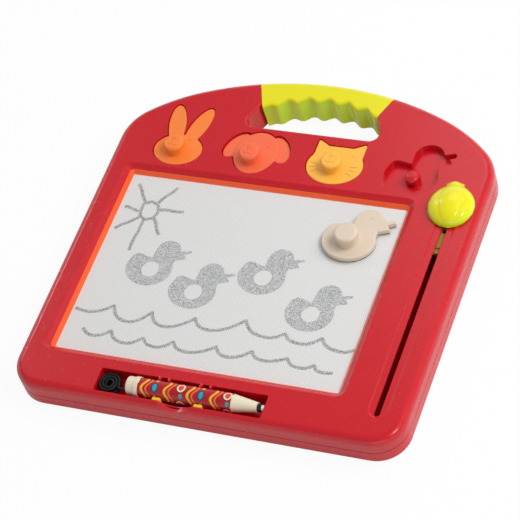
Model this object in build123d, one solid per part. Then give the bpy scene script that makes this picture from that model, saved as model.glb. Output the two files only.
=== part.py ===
from build123d import *
import os
from math import cos, hypot, pi, radians, sin, sqrt, tan

# Magnetic drawing board: a two-shell plastic case with a framed magnetic screen, a sliding eraser bar,
# four magnetic stamps that seat on pegs, and a tethered stylus in a tray.
# Frame: X across the board, Y up the board towards the grip, Z out of the face.
# The origin is under the middle of the case, on the plane that the back rests on. Millimetres.

os.makedirs("parts", exist_ok=True)

# The case
case_width = 352.8
case_length = 359.6
case_height = 29.0
parting_height = 12.6
wall = 2.5
edge_round = 2.5
face_edge_round = 7.0
top_arc_radius = 293.0
top_arc_turn = 23.2
flank_turn = 42.2
shoulder_radius = 44.7
corner_radius = 28.0
parting_groove = 0.7
tongue_height = 2.0
tongue_thickness = 1.0
running_gap = 0.3
slip_gap = 0.15
overrun = 2.0

face_z = case_height
half_width = case_width / 2
half_length = case_length / 2
skin_z = face_z - wall

# The hand hold and the grip
hold_half_width = 62.5
hold_below_top = 59.5
hold_straight = 10.7
hold_corner = 8.0
hold_upper_corner = 6.5
hold_edge_round = 2.0
joint_outer_half = 64.2
joint_inner_half = 55.4
joint_drop = 32.4
joint_outer_drop = 10.0
grip_depth = 21.0
grip_inner_x = 5.0
grip_inner_radius = 120.0
grip_round = 3.4
finger_pitch = 18.8
finger_depth = 2.1
finger_offset = 4.4
finger_count = 5
grip_stations_per_finger = 4
grip_split_z = case_height / 2
grip_wall = 2.5

# The screen and its frame
screen_x = -19.3
screen_y = -39.25
screen_width = 260.0
screen_height = 190.5
screen_drop = 7.3
bezel_run = 3.2
bezel_rise = 4.0
bezel_corner = 4.0
bezel_flange = 7.5
bezel_thickness = 1.5
lip_run = 4.5
lip_wall = 3.0
film_margin = 5.5
film_thickness = 0.4
cell_thickness = 1.6

screen_z = face_z - screen_drop
stack_z = screen_z - 2 * film_thickness - cell_thickness
bezel_top_z = screen_z + bezel_rise

# The eraser slide
slot_x = 150.6
slot_width = 5.0
slot_end_y = -153.6
trough_width = 18.0
trough_depth = 0.8
trough_margin = 2.0
trough_shoulder = 1.3
knob_y = 59.5
knob_radius = 21.2
knob_height = 13.0
knob_wall = 2.4
knob_lift = 0.4
crown_reach = 24.8
crown_radius = 6.8
neck_reach = 21.8
neck_radius = 6.9
crown_notch = 1.3
crown_teeth = 2
stem_length = 24.0
stem_width = 4.4
post_radius = 4.5
carriage_width = 11.0
carriage_tail = 46.0
carriage_head = 16.0
carriage_thickness = 3.0
carriage_window_from = 19.5
carriage_window_to = 24.5
carriage_groove_at = 41.5
carriage_groove_width = 3.0
carriage_groove_depth = 1.0
slide_travel = 186.0
bar_offset = -5.0
bar_width = 10.0
bar_bottom_z = 13.8
bar_thickness = 5.0
bar_wall = 1.5
bar_overhang = 5.7
magnet_strip_width = 7.0
magnet_strip_thickness = 1.5
guide_wall = 1.5
guide_depth = 4.0
rail_wall = 2.0
knob_screw_radius = 1.4
knob_screw_length = 12.0
knob_screw_head_radius = 2.6
knob_screw_head_height = 1.8

# The pockets and the stamps
pocket_depth = 6.3
pocket_gap = 0.5
pocket_wall = 2.0
pocket_edge_round = 0.5
stamp_thickness = 4.2
stamp_magnet_thickness = 1.5
stamp_magnet_inset = 0.5
stamp_edge_round = 1.2
stamp_wall = 2.2
peg_radius = 6.9
peg_height = 9.4
peg_dome = 4.6
peg_wall = 2.0
peg_window_width = 5.0
peg_window_height = 3.2
stamp_knob_radius = 8.8
stamp_knob_neck = 7.9
stamp_knob_top_radius = 9.4
stamp_knob_height = 10.5
stamp_knob_cap = 6.0
stamp_knob_round = 2.6
stamp_knob_lip = 0.4
stamp_knob_wall = 1.5
eye_radius = 1.7
eye_depth = 0.4

# The pen tray
tray_left = -95.2
tray_right = 56.8
tray_front = -174.1
tray_back = -151.6
tray_depth = 13.0
tray_corner = 1.5
notch_x = -20.0
notch_width = 32.0
notch_depth = 4.5
clip_x = (-37.0, 0.7)
clip_width = 7.5
clip_thickness = 2.8
clip_rise = 0.6
bump_spacing = 8.6
bump_width = 2.6
bump_rise = 0.8
cradle_width = 3.0

# The stylus
stylus_radius = 8.1
stylus_y = -162.9
stylus_axis_drop = 2.6
stylus_tail_x = -67.0
stylus_cap_length = 7.4
stylus_ring_length = 4.0
stylus_ring_radius = 8.8
stylus_cone_radius = 7.7
stylus_barrel_length = 84.6
stylus_cone_length = 21.6
stylus_cone_tip_radius = 4.2
stylus_collar_length = 3.6
stylus_collar_radius = 3.4
stylus_nib_length = 2.2
stylus_nib_radius = 2.6
stylus_wall = 1.8
stylus_spigot = 5.0
stylus_cap_round = 1.6
stylus_magnet_radius = 2.0
stylus_magnet_length = 14.0

# The tether
cord_diameter = 2.2
coil_x = -85.3
coil_outer_radius = 9.0
coil_pitch = 2.65
coil_layer_pitch = 2.75
coil_turns_per_layer = 2
coil_layers = 4
coil_climb_turn = 0.5
coil_last_turn = 0.25
anchor_x = -56.0
anchor_length = 5.0
anchor_width = 3.6
anchor_height = 3.4
lead_drop = 4.24

# The screws
screw_radius = 1.5
screw_head_radius = 2.9
screw_head_height = 1.9
screw_length = 13.0
boss_radius = 4.2
counterbore_radius = 3.3
counterbore_depth = 5.5
pilot_gap = 0.05

half_screen = screen_width / 2
half_screen_height = screen_height / 2
stylus_z = face_z - stylus_axis_drop
tray_floor_z = face_z - tray_depth
pocket_floor_z = face_z - pocket_depth


def prism(face, low, high):
    """A flat face in the XY plane raised into a solid between two heights."""
    return extrude(Pos(0, 0, low) * face, amount=high - low)


def block(x0, x1, y0, y1, z0, z1):
    """A box between two corners."""
    middle = Pos((x0 + x1) / 2, (y0 + y1) / 2, (z0 + z1) / 2)
    return middle * Box(abs(x1 - x0), abs(y1 - y0), abs(z1 - z0))


def post(x, y, radius, low, high):
    """An upright round bar."""
    return Pos(x, y, (low + high) / 2) * Cylinder(radius, high - low)


def lying_bar(x0, x1, radius, y, z):
    """A round bar along X."""
    return Pos((x0 + x1) / 2, y, z) * Rot(0, 90, 0) * Cylinder(radius, x1 - x0)


def joined(pieces):
    """Several solids as one, by fusing each to the first."""
    whole = pieces[0]
    for piece in pieces[1:]:
        whole = whole + piece
    return whole


def board_face(inset):
    """The case's outline, drawn in by an inset: three arcs each side of the top, and two bottom corners."""
    s1 = sin(radians(top_arc_turn))
    s2 = sin(radians(flank_turn))
    c1 = cos(radians(top_arc_turn))
    c2 = cos(radians(flank_turn))
    flank_radius = (half_width - top_arc_radius * s1 - shoulder_radius * (1 - s2)) / (s2 - s1)
    top_y = half_length - top_arc_radius
    flank_x = (top_arc_radius - flank_radius) * s1
    flank_y = top_y + (top_arc_radius - flank_radius) * c1
    shoulder_x = flank_x + (flank_radius - shoulder_radius) * s2
    shoulder_y = flank_y + (flank_radius - shoulder_radius) * c2
    corner_x = half_width - corner_radius
    corner_y = corner_radius - half_length
    side = half_width - inset
    top = CenterArc((0, top_y), top_arc_radius - inset, 90 - top_arc_turn, 2 * top_arc_turn)
    turn = flank_turn - top_arc_turn
    right_flank = CenterArc((flank_x, flank_y), flank_radius - inset, 90 - flank_turn, turn)
    left_flank = CenterArc((-flank_x, flank_y), flank_radius - inset, 90 + top_arc_turn, turn)
    right_shoulder = CenterArc((shoulder_x, shoulder_y), shoulder_radius - inset, 0, 90 - flank_turn)
    left_shoulder = CenterArc((-shoulder_x, shoulder_y), shoulder_radius - inset, 90 + flank_turn,
                              90 - flank_turn)
    right_side = Line((side, corner_y), (side, shoulder_y))
    left_side = Line((-side, corner_y), (-side, shoulder_y))
    right_corner = CenterArc((corner_x, corner_y), corner_radius - inset, -90, 90)
    left_corner = CenterArc((-corner_x, corner_y), corner_radius - inset, 180, 90)
    bottom = Line((-corner_x, inset - half_length), (corner_x, inset - half_length))
    return make_face([top, left_flank, left_shoulder, left_side, left_corner, bottom, right_corner,
                      right_side, right_shoulder, right_flank])


def joint_x(y):
    """Half the grip's width at a height up the board: the joint line between grip and shells."""
    rise = joint_drop - joint_outer_drop
    slope = (joint_outer_half - joint_inner_half) / rise
    return joint_inner_half + (y - (half_length - joint_drop)) * slope


def bay_face(grow):
    """The gap in the shells: the hand hold, and above it the place of the grip."""
    bottom = half_length - hold_below_top
    waist = bottom + hold_straight
    neck = half_length - joint_drop
    top = half_length + overrun
    half = [(hold_half_width, bottom), (hold_half_width, waist), (joint_inner_half, neck),
            (joint_x(top), top)]
    points = half + [(-x, y) for x, y in reversed(half)]
    face = make_face(Polyline(*points, close=True))
    low = face.vertices().filter_by(lambda v: v.Y < bottom + hold_straight / 2)
    face = fillet(low, hold_corner)
    shoulder = face.vertices().filter_by(lambda v: abs(v.Y - waist) < hold_straight / 10)
    face = fillet(shoulder, hold_upper_corner)
    if grow > 0:
        face = offset(face, grow, kind=Kind.INTERSECTION)
    return face


def grip_zone_face(inset):
    """The plan shape between the two joint lines, drawn in from the joints by an inset."""
    low = half_length - hold_below_top
    high = half_length + overrun
    return make_face(Polyline((-joint_x(low) + inset, low), (joint_x(low) - inset, low),
                              (joint_x(high) - inset, high), (-joint_x(high) + inset, high), close=True))


def grip_inner_y(x):
    """The grip's finger side: a shallow arc with a cosine wave of finger grooves that fades at its ends."""
    beside = x - grip_inner_x
    arc = half_length - grip_depth - (grip_inner_radius - sqrt(grip_inner_radius ** 2 - beside ** 2))
    from_middle = abs(x - finger_offset)
    reach = finger_count * finger_pitch / 2
    fade = max(0.0, min(1.0, 1 - (from_middle - reach) / (finger_pitch / 2)))
    return arc + fade * finger_depth * cos(2 * pi * (x - finger_offset) / finger_pitch)


def grip_half(inset, corner):
    """The front half of the grip's skin surface, as a loft through sections across it."""
    step = finger_pitch / grip_stations_per_finger
    count = int((joint_outer_half + overrun) / step) + 1
    sections = []
    for index in range(-count, count + 1):
        x = index * step
        outer = half_length - (top_arc_radius - sqrt(top_arc_radius ** 2 - x ** 2)) - inset
        inner = grip_inner_y(x) + inset
        top = face_z - inset
        nose = grip_round if inset == 0 else grip_round / 2
        middle = inner + nose
        bend = cos(radians(45))
        plane = Plane(origin=(x, 0, 0), x_dir=(0, 1, 0), z_dir=(1, 0, 0))
        profile = [
            Line((outer, grip_split_z), (outer, top - corner)),
            ThreePointArc((outer, top - corner),
                          (outer - corner * (1 - bend), top - corner * (1 - bend)),
                          (outer - corner, top)),
            Line((outer - corner, top), (middle, top)),
            ThreePointArc((middle, top), (middle - nose * bend, top - nose * (1 - bend)), (inner, top - nose)),
            Line((inner, top - nose), (inner, grip_split_z)),
            Line((inner, grip_split_z), (outer, grip_split_z)),
        ]
        sections.append(plane * make_face(profile))
    return loft(sections)


def screen_face(run, corner):
    """A rounded rectangle about the screen's middle, larger than the visible screen by a run each side."""
    return Pos(screen_x, screen_y) * RectangleRounded(screen_width + 2 * run, screen_height + 2 * run, corner)


def slot_face(width, low, high):
    """An upright slot outline with round ends at the eraser's slot."""
    length = high - low
    return Pos(slot_x, (low + high) / 2) * Rot(0, 0, 90) * SlotOverall(length, width)


# Stamp outlines, in their own frames: the origin is the middle of the head or body

rabbit_head = (23.3, 17.5)
rabbit_ear = (8.4, 23.0)
rabbit_ear_place = (10.6, 27.6)
rabbit_ear_tilt = 14.5
dog_head = (20.5, 23.5)
dog_ear = (9.3, 16.0)
dog_ear_place = (20.5, 6.5)
dog_ear_tilt = 30.0
dog_ear_drop = 1.3
cat_cheek = (26.3, 20.5)
cat_side = 22.9
cat_temple_round = 10.0
cat_ear_top = 27.6
cat_ear_inner = (11.5, 21.3)
cat_ear_round = 1.8
duck_body = (23.9, 20.6)
duck_back = 12.0
duck_tail_low = (-23.0, 3.0)
duck_tail_tip = (-21.0, 15.2)
duck_tail_round = 6.5
duck_head_radius = 12.9
duck_head_place = (10.2, 22.2)
duck_neck_right = 21.6
duck_neck_low = 8.5
duck_beak_root = (19.0, 12.4)
duck_beak_upper = (32.4, 28.9)
duck_beak_tip = (33.8, 26.0)
duck_beak_mouth = (27.6, 22.2)
duck_beak_lower = (31.8, 18.2)
duck_beak_round = 1.2
duck_inner_round = 1.2


def grown_ellipse(radii, grow):
    """An oval with both radii enlarged alike."""
    return Ellipse(radii[0] + grow, radii[1] + grow)


def rabbit_face(grow):
    """A wide oval head with two upright leaf-shaped ears."""
    face = grown_ellipse(rabbit_head, grow)
    for side in (-1, 1):
        ear = Pos(side * rabbit_ear_place[0], rabbit_ear_place[1]) * Rot(0, 0, -side * rabbit_ear_tilt)
        face = face + ear * grown_ellipse(rabbit_ear, grow)
    return face


def dog_face(grow):
    """An oval head with a hanging oval ear on each side."""
    face = grown_ellipse(dog_head, grow)
    for side in (-1, 1):
        ear = Pos(side * dog_ear_place[0], dog_ear_place[1]) * Rot(0, 0, side * dog_ear_tilt)
        face = face + ear * grown_ellipse(dog_ear, grow)
    return face


def cat_face(grow):
    """Round cheeks, straight temples and two pointed ears."""
    ear_x, ear_y = cat_ear_inner
    face = grown_ellipse(cat_cheek, grow)
    face = face + Pos(0, (ear_y + grow) / 2) * Rectangle(2 * (cat_side + grow), ear_y + grow)
    for side in (-1, 1):
        ear = make_face(Polyline((side * cat_side, 0), (side * cat_side, cat_ear_top), (side * ear_x, ear_y),
                                 (0, 0), close=True))
        tip = ear.vertices().sort_by(Axis.Y)[-1]
        ear = fillet(tip, cat_ear_round)
        face = face + (offset(ear, grow) if grow else ear)
    if grow:
        return face
    cheek_y = cat_cheek[1] * sqrt(1 - (cat_side / cat_cheek[0]) ** 2)
    temples = face.vertices().filter_by(lambda v: abs(v.Y - cheek_y) < slip_gap)
    return fillet(temples, cat_temple_round)


def duck_face(grow):
    """An egg body with a raised tail, a round head and an open beak, facing +X."""
    back = duck_back + grow
    body = grown_ellipse(duck_body, grow)
    body = body - Pos(0, back + duck_body[1]) * Rectangle(4 * duck_body[0], 2 * duck_body[1])
    head_x, head_y = duck_head_place
    neck_left = head_x - duck_head_radius - grow
    tail = make_face(Polyline((0, 0), duck_tail_low, duck_tail_tip, (neck_left + grow, duck_back), close=True))
    tail = fillet(tail.vertices().sort_by(Axis.Y)[-1], duck_tail_round)
    neck_right = duck_neck_right + grow
    neck = Pos((neck_left + neck_right) / 2, (duck_neck_low + head_y) / 2) \
        * Rectangle(neck_right - neck_left, head_y - duck_neck_low)
    head = Pos(head_x, head_y) * Circle(duck_head_radius + grow)
    beak = make_face(Polyline(duck_head_place, duck_beak_upper, duck_beak_tip, duck_beak_mouth,
                              duck_beak_lower, duck_beak_root, close=True))
    tips = beak.vertices().filter_by(lambda v: v.X > (duck_beak_mouth[0] + duck_beak_lower[0]) / 2)
    beak = fillet(tips, duck_beak_round)
    if grow:
        return joined([body, offset(tail, grow), neck, head, offset(beak, grow)])
    face = joined([body, tail, neck, head, beak])
    on_head = face.vertices().filter_by(
        lambda v: abs(hypot(v.X - head_x, v.Y - head_y) - duck_head_radius) < slip_gap)
    on_back = face.vertices().filter_by(lambda v: abs(v.X - neck_left) + abs(v.Y - duck_back) < slip_gap)
    return fillet(on_head + on_back, duck_inner_round)


# Where each stamp's origin, knob and peg lie: the duck's pocket is empty, because its stamp is on the screen
stamps = {
    "rabbit": {"face": rabbit_face, "place": (-115.4, 84.9), "knob": (-1.6, 0.4), "eyes": (7.9, 10.6)},
    "dog": {"face": dog_face, "place": (-41.8, 91.9), "knob": (-2.1, -6.0), "eyes": (9.5, 6.8)},
    "cat": {"face": cat_face, "place": (34.0, 88.8), "knob": (-1.0, -1.3), "eyes": (13.2, 10.9)},
    "duck": {"face": duck_face, "place": (105.0, 88.0), "knob": (1.8, -1.0), "eyes": (11.6, 24.2)},
}
duck_on_screen = (-33.7, -73.8)
duck_turn = -5.0
duck_knob_growth = 1.2
duck_knob_rise = 2.0
duck_knob_shift = 1.4


def pocket_faces(grow):
    """The stamps' outlines at their pockets, drawn out by a gap."""
    return [Pos(*stamp["place"]) * stamp["face"](grow) for stamp in stamps.values()]


def peg_places():
    """The middles of the pockets' pegs, under the stamps' knobs."""
    return [(stamp["place"][0] + stamp["knob"][0], stamp["place"][1] + stamp["knob"][1])
            for stamp in stamps.values()]


# Screws hold the shells together at bosses around the rim and one between the middle pockets
side_screw_x = 165.6
side_screw_y_shares = (-0.68, -0.34, 0.02, 0.36)
end_screws = ((-120.0, -161.0), (86.0, -161.0), (-143.0, 122.0), (143.0, 122.0), (-83.0, 146.0),
              (83.0, 146.0), (-2.0, 94.0))
grip_screw_x_shares = (-0.66, 0.0, 0.66)
grip_screw_drop = 13.0


def case_screw_places():
    """The middles of the case screws."""
    places = list(end_screws)
    for share in side_screw_y_shares:
        places.append((-side_screw_x, share * half_length))
        places.append((side_screw_x, share * half_length))
    return places


def grip_screw_places():
    """The middles of the grip screws, which follow the top of the board."""
    places = []
    for share in grip_screw_x_shares:
        x = share * joint_inner_half
        y = half_length - grip_screw_drop - (top_arc_radius - sqrt(top_arc_radius ** 2 - x ** 2))
        places.append((x, y))
    return places


knob_lowest_y = knob_y - slide_travel
slot_top_y = knob_y + stem_length / 2 + slip_gap + slot_width / 4
window_top_y = screen_y + half_screen_height
window_bottom_y = screen_y - half_screen_height


def pocket_rim(body, face):
    """The edges on the board's face that go round a pocket."""
    box = face.bounding_box()
    return [edge for edge in body.edges().group_by(Axis.Z)[-1]
            if box.min.X - slip_gap < edge.center().X < box.max.X + slip_gap
            and box.min.Y - slip_gap < edge.center().Y < box.max.Y + slip_gap]


def peg_solid(x, y):
    """A domed peg that stands on a pocket's floor, hollow below."""
    top = pocket_floor_z + peg_height
    bar = post(x, y, peg_radius, pocket_floor_z - pocket_wall, top)
    bar = fillet(bar.edges().group_by(Axis.Z)[-1], peg_dome)
    return bar


def peg_cuts(x, y):
    """The peg's bore from below, and the small window at its near foot."""
    bore = post(x, y, peg_radius - peg_wall, pocket_floor_z - pocket_wall - overrun,
                pocket_floor_z + peg_height - peg_dome - peg_wall)
    half = peg_window_width / 2
    window = block(x - half, x + half, y - peg_radius - overrun, y - peg_radius + 2 * peg_wall,
                   pocket_floor_z, pocket_floor_z + peg_window_height)
    return [bore, window]


def front_shell():
    """The front half of the case: face, walls, pockets, tray, screen opening, slot and bosses."""
    body = prism(board_face(0), parting_height, face_z)
    body = fillet(body.edges().group_by(Axis.Z)[-1], face_edge_round)
    hollow = prism(board_face(wall), parting_height - overrun, skin_z)
    body = body - fillet(hollow.edges().group_by(Axis.Z)[-1], face_edge_round - wall)

    # Walls around the grip and the hand hold, the tray, the pockets and the lip of the screen opening
    sleeve = prism(bay_face(wall), parting_height, skin_z + wall / 2)
    within = prism(board_face(wall / 2), parting_height, face_z - wall / 2)
    within = fillet(within.edges().group_by(Axis.Z)[-1], face_edge_round - wall / 2)
    body = body + (sleeve & within)
    tray_low = tray_floor_z - wall
    body = body + block(tray_left - wall, tray_right + wall, tray_front - wall / 2, tray_back + wall,
                        tray_low, skin_z + wall / 2)
    for face in pocket_faces(pocket_gap + pocket_wall):
        body = body + prism(face, pocket_floor_z - pocket_wall, skin_z + wall / 2)
    lip = prism(screen_face(bezel_run + lip_wall, bezel_corner + lip_wall),
                screen_z + bezel_thickness, skin_z + wall / 2)
    body = body + lip

    # Bosses for the case screws, and the guides that the eraser's carriage runs between
    for x, y in case_screw_places():
        body = body + post(x, y, boss_radius, parting_height + slip_gap, skin_z + wall / 2)
    guide_low = skin_z - guide_depth
    for side in (-1, 1):
        inner = slot_x + side * (carriage_width / 2 + running_gap)
        body = body + block(inner, inner + side * guide_wall, slot_end_y, knob_y + carriage_head,
                            guide_low, skin_z + wall / 4)
    for x, y in case_screw_places():
        body = body - post(x, y, screw_radius + pilot_gap, parting_height - overrun, skin_z - slip_gap)

    # The hand hold and the grip's place go right through, with a rounded edge where hands go
    body = body - prism(bay_face(0), parting_height - overrun, face_z + overrun)
    neck = half_length - joint_drop
    rim = [edge for edge in body.edges().group_by(Axis.Z)[-1]
           if edge.center().Y < neck and edge.center().Y > neck - hold_below_top / 2
           and abs(edge.center().X) < hold_half_width + slip_gap
           and edge.center().Y > half_length - hold_below_top - slip_gap
           and edge.center().Y < half_length - joint_drop]
    rim = [edge for edge in rim if on_bay_edge(edge)]
    body = fillet(rim, hold_edge_round)

    # Pockets and pegs: the empty pocket's edge is rounded, and the stamps cover the others' edges
    for name, face in zip(stamps, pocket_faces(pocket_gap)):
        body = body - prism(face, pocket_floor_z, face_z + overrun)
        if name == "duck":
            body = fillet(pocket_rim(body, face), pocket_edge_round)
    for x, y in peg_places():
        body = body + peg_solid(x, y)
        for cut in peg_cuts(x, y):
            body = body - cut

    # The screen opening: a rolled red edge down to the bezel, then a straight wall
    opening = screen_face(bezel_run, bezel_corner)
    body = body - prism(opening, screen_z - overrun, face_z + overrun)
    rolled = loft([Pos(0, 0, bezel_top_z) * screen_face(bezel_run, bezel_corner),
                   Pos(0, 0, face_z) * screen_face(bezel_run + lip_run, bezel_corner + lip_run)], ruled=True)
    body = body - rolled
    body = fillet(lip_edges(body), (face_z - bezel_top_z) / 2)

    # The pen tray with its finger notch, clip bumps and cradles
    tray = Pos((tray_left + tray_right) / 2, (tray_front + tray_back) / 2) \
        * RectangleRounded(tray_right - tray_left, tray_back - tray_front, tray_corner)
    body = body - prism(tray, tray_floor_z, face_z + overrun)
    notch_radius = (notch_width ** 2 / 4 + notch_depth ** 2) / (2 * notch_depth)
    notch_length = 2 * (tray_front + half_length) + 2 * overrun
    notch = Pos(notch_x, tray_front, face_z - notch_depth + notch_radius) * Rot(90, 0, 0) \
        * Cylinder(notch_radius, notch_length)
    body = body - notch
    for x in clip_x:
        body = joined([body] + clip_bumps(x) + [cradle(x)])

    # The eraser's slot in its shallow trough
    low = slot_end_y - trough_margin
    high = slot_top_y + trough_margin
    trough = loft([Pos(0, 0, face_z) * slot_face(trough_width, low, high),
                   Pos(0, 0, face_z - trough_depth)
                   * slot_face(trough_width - 2 * trough_shoulder, low + trough_shoulder,
                               high - trough_shoulder)], ruled=True)
    body = body - trough
    body = body - prism(slot_face(slot_width, slot_end_y, slot_top_y), skin_z - overrun, face_z + overrun)

    # The parting line: a groove outside, and a rebate inside that takes the back shell's tongue
    rim_outer = prism(board_face(0), parting_height, parting_height + parting_groove)
    body = body - (rim_outer - prism(board_face(parting_groove), parting_height - overrun,
                                     parting_height + overrun))
    rebate = wall - tongue_thickness - slip_gap
    tongue_room = prism(board_face(rebate), parting_height, parting_height + tongue_height + slip_gap)
    tongue_room = tongue_room - prism(board_face(wall), parting_height - overrun, face_z)
    return body - (tongue_room - prism(bay_face(2 * wall), parting_height - overrun, face_z))


def on_bay_edge(edge):
    """True for an edge that lies on the hand hold's contour, below the grip."""
    middle = edge.position_at(0.5)
    bottom = half_length - hold_below_top
    inside = abs(middle.X) < hold_half_width + slip_gap and middle.Y > bottom - slip_gap
    return inside and middle.Y < half_length - joint_drop


def lip_edges(body):
    """The sharp edges at the top of the screen opening's slope."""
    chosen = []
    reach_x = half_screen + bezel_run + lip_run
    reach_y = half_screen_height + bezel_run + lip_run
    for edge in body.edges():
        middle = edge.position_at(0.5)
        level = abs(middle.Z - face_z) < slip_gap
        inside = abs(middle.X - screen_x) < reach_x + slip_gap and abs(middle.Y - screen_y) < reach_y + slip_gap
        if level and inside:
            chosen.append(edge)
    return chosen


def clip_bumps(x):
    """Two small ribs on the tray's back wall that press the barrel towards the clip."""
    bumps = []
    inner = stylus_y + stylus_radius + running_gap
    for side in (-1, 1):
        middle = x + side * bump_spacing / 2
        rib = block(middle - bump_width / 2, middle + bump_width / 2, inner, tray_back + wall / 2,
                    tray_floor_z - wall / 2, face_z + bump_rise)
        top = rib.edges().group_by(Axis.Z)[-1].filter_by(Axis.Y)
        bumps.append(fillet(top, bump_width / 2 - slip_gap))
    return bumps


def cradle(x):
    """A low saddle on the tray's floor that carries the barrel."""
    reach = stylus_radius / 2
    saddle = block(x - cradle_width / 2, x + cradle_width / 2, stylus_y - reach, stylus_y + reach,
                   tray_floor_z - wall / 2, stylus_z - reach)
    room = lying_bar(x - cradle_width, x + cradle_width, stylus_radius + running_gap / 2, stylus_y, stylus_z)
    return saddle - room


def back_shell():
    """The back half of the case: floor, walls, screw bosses, screen supports and bar rails."""
    body = prism(board_face(0), 0, parting_height)
    body = fillet(body.edges().group_by(Axis.Z)[0], edge_round)
    body = body - prism(board_face(wall), wall, parting_height + overrun)
    sleeve = prism(bay_face(wall), 0, parting_height)
    body = body + (sleeve & prism(board_face(wall / 2), 0, parting_height))
    tongue_outer = wall - tongue_thickness
    tongue = prism(board_face(tongue_outer), parting_height - wall, parting_height + tongue_height)
    tongue = tongue - prism(board_face(wall), 0, face_z)
    body = body + (tongue - prism(bay_face(2 * wall + slip_gap), 0, face_z))
    for x, y in case_screw_places():
        body = body + post(x, y, boss_radius + wall / 4, wall / 2, parting_height)

    # Two ribs carry the screen's long edges, and two low rails run under the eraser bar
    rib_left = screen_x - half_screen - film_margin / 2
    rib_right = screen_x + half_screen + film_margin
    rib_low = screen_y - half_screen_height - film_margin
    rib_high = screen_y + half_screen_height + film_margin
    body = body + block(rib_left, rib_right, rib_high - guide_wall, rib_high, wall / 2, stack_z)
    body = body + block(rib_left, rib_right, rib_low, rib_low + guide_wall, wall / 2, stack_z)
    for share in rail_x_shares:
        x = screen_x + share * half_screen
        body = body + block(x - rail_wall / 2, x + rail_wall / 2, rib_low, rib_high, wall / 2,
                            bar_bottom_z - running_gap)
    body = body - prism(bay_face(0), -overrun, parting_height + overrun)
    rim = [edge for edge in body.edges().group_by(Axis.Z)[0] if on_bay_edge(edge)]
    body = fillet(rim, hold_edge_round)
    for x, y in case_screw_places():
        body = body - post(x, y, screw_radius + slip_gap, -overrun, parting_height + overrun)
        body = body - post(x, y, counterbore_radius, -overrun, counterbore_depth)
    return body


rail_x_shares = (-0.62, 0.62)


def machine_screw(x, y, head_z, radius, length, head_radius, head_height):
    """A pan-head screw that points up, with a cross slot in its head."""
    shank = post(x, y, radius, head_z, head_z + length)
    shank = chamfer(shank.edges().group_by(Axis.Z)[-1], radius / 2)
    head = post(x, y, head_radius, head_z - head_height, head_z)
    head = fillet(head.edges().group_by(Axis.Z)[0], head_height / 3)
    screw = shank + head
    low = head_z - head_height
    arm = head_radius * cross_arm_share
    half = head_radius * cross_half_share
    deep = low + head_height * cross_depth_share
    cross = block(x - arm, x + arm, y - half, y + half, low - overrun, deep)
    cross = cross + block(x - half, x + half, y - arm, y + arm, low - overrun, deep)
    return screw - cross


cross_arm_share = 0.62
cross_half_share = 0.14
cross_depth_share = 0.6


def case_screws():
    """The screws that hold the two shells together."""
    return [machine_screw(x, y, counterbore_depth, screw_radius, screw_length, screw_head_radius,
                          screw_head_height) for x, y in case_screw_places()]


def grip_front():
    """The front half of the grip, hollow, with bosses for its screws."""
    skin = grip_half(0, face_edge_round) & prism(grip_zone_face(slip_gap), 0, 2 * case_height)
    hollow = grip_half(grip_wall, face_edge_round - grip_wall)
    hollow = hollow & prism(grip_zone_face(grip_wall), 0, 2 * case_height)
    body = skin - hollow
    for x, y in grip_screw_places():
        body = body + post(x, y, boss_radius, grip_split_z, face_z - grip_wall / 2)
        body = body - post(x, y, screw_radius + pilot_gap, grip_split_z - overrun,
                           face_z - grip_wall - slip_gap)
    return body


def grip_back():
    """The back half of the grip, with counterbored bosses."""
    skin = grip_half(0, edge_round) & prism(grip_zone_face(slip_gap), 0, 2 * case_height)
    hollow = grip_half(grip_wall, edge_round / 2)
    hollow = hollow & prism(grip_zone_face(grip_wall), 0, 2 * case_height)
    body = skin - hollow
    body = mirror(body, about=Plane(origin=(0, 0, grip_split_z), z_dir=(0, 0, 1)))
    for x, y in grip_screw_places():
        body = body + post(x, y, boss_radius + wall / 4, grip_wall / 2, grip_split_z)
        body = body - post(x, y, screw_radius + slip_gap, -overrun, grip_split_z + overrun)
        body = body - post(x, y, counterbore_radius, -overrun, counterbore_depth)
    return body


def grip_screws():
    """The screws that close the grip."""
    return [machine_screw(x, y, counterbore_depth, screw_radius, screw_length, screw_head_radius,
                          screw_head_height) for x, y in grip_screw_places()]


def screen_bezel():
    """The orange frame: a sloped inner border, and a flange that lies under the lip."""
    flange_z = screen_z + bezel_thickness
    side = bezel_flange
    frame = prism(screen_face(side, bezel_corner), screen_z, flange_z - slip_gap)
    frame = frame + prism(screen_face(bezel_run - slip_gap, bezel_corner), screen_z, bezel_top_z)
    room = loft([Pos(0, 0, screen_z) * screen_face(0, bezel_corner / 4),
                 Pos(0, 0, bezel_top_z) * screen_face(bezel_run - 2 * slip_gap, bezel_corner)], ruled=True)
    return frame - room


def screen_sheet(low, thickness):
    """One flat layer of the screen."""
    return prism(screen_face(film_margin, bezel_corner / 2), low, low + thickness)


def pen_clips():
    """Two small yellow tabs on the tray's front wall that hold the barrel."""
    clips = []
    for x in clip_x:
        tab = block(x - clip_width / 2, x + clip_width / 2, tray_front, tray_front + clip_thickness,
                    tray_floor_z, face_z + clip_rise)
        tab = fillet(tab.edges().filter_by(Axis.Z).sort_by(Axis.Y)[-2:], clip_thickness / 3)
        tab = fillet(tab.edges().group_by(Axis.Z)[-1], clip_thickness / 4)
        clips.append(tab)
    return clips


# The eraser

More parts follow.
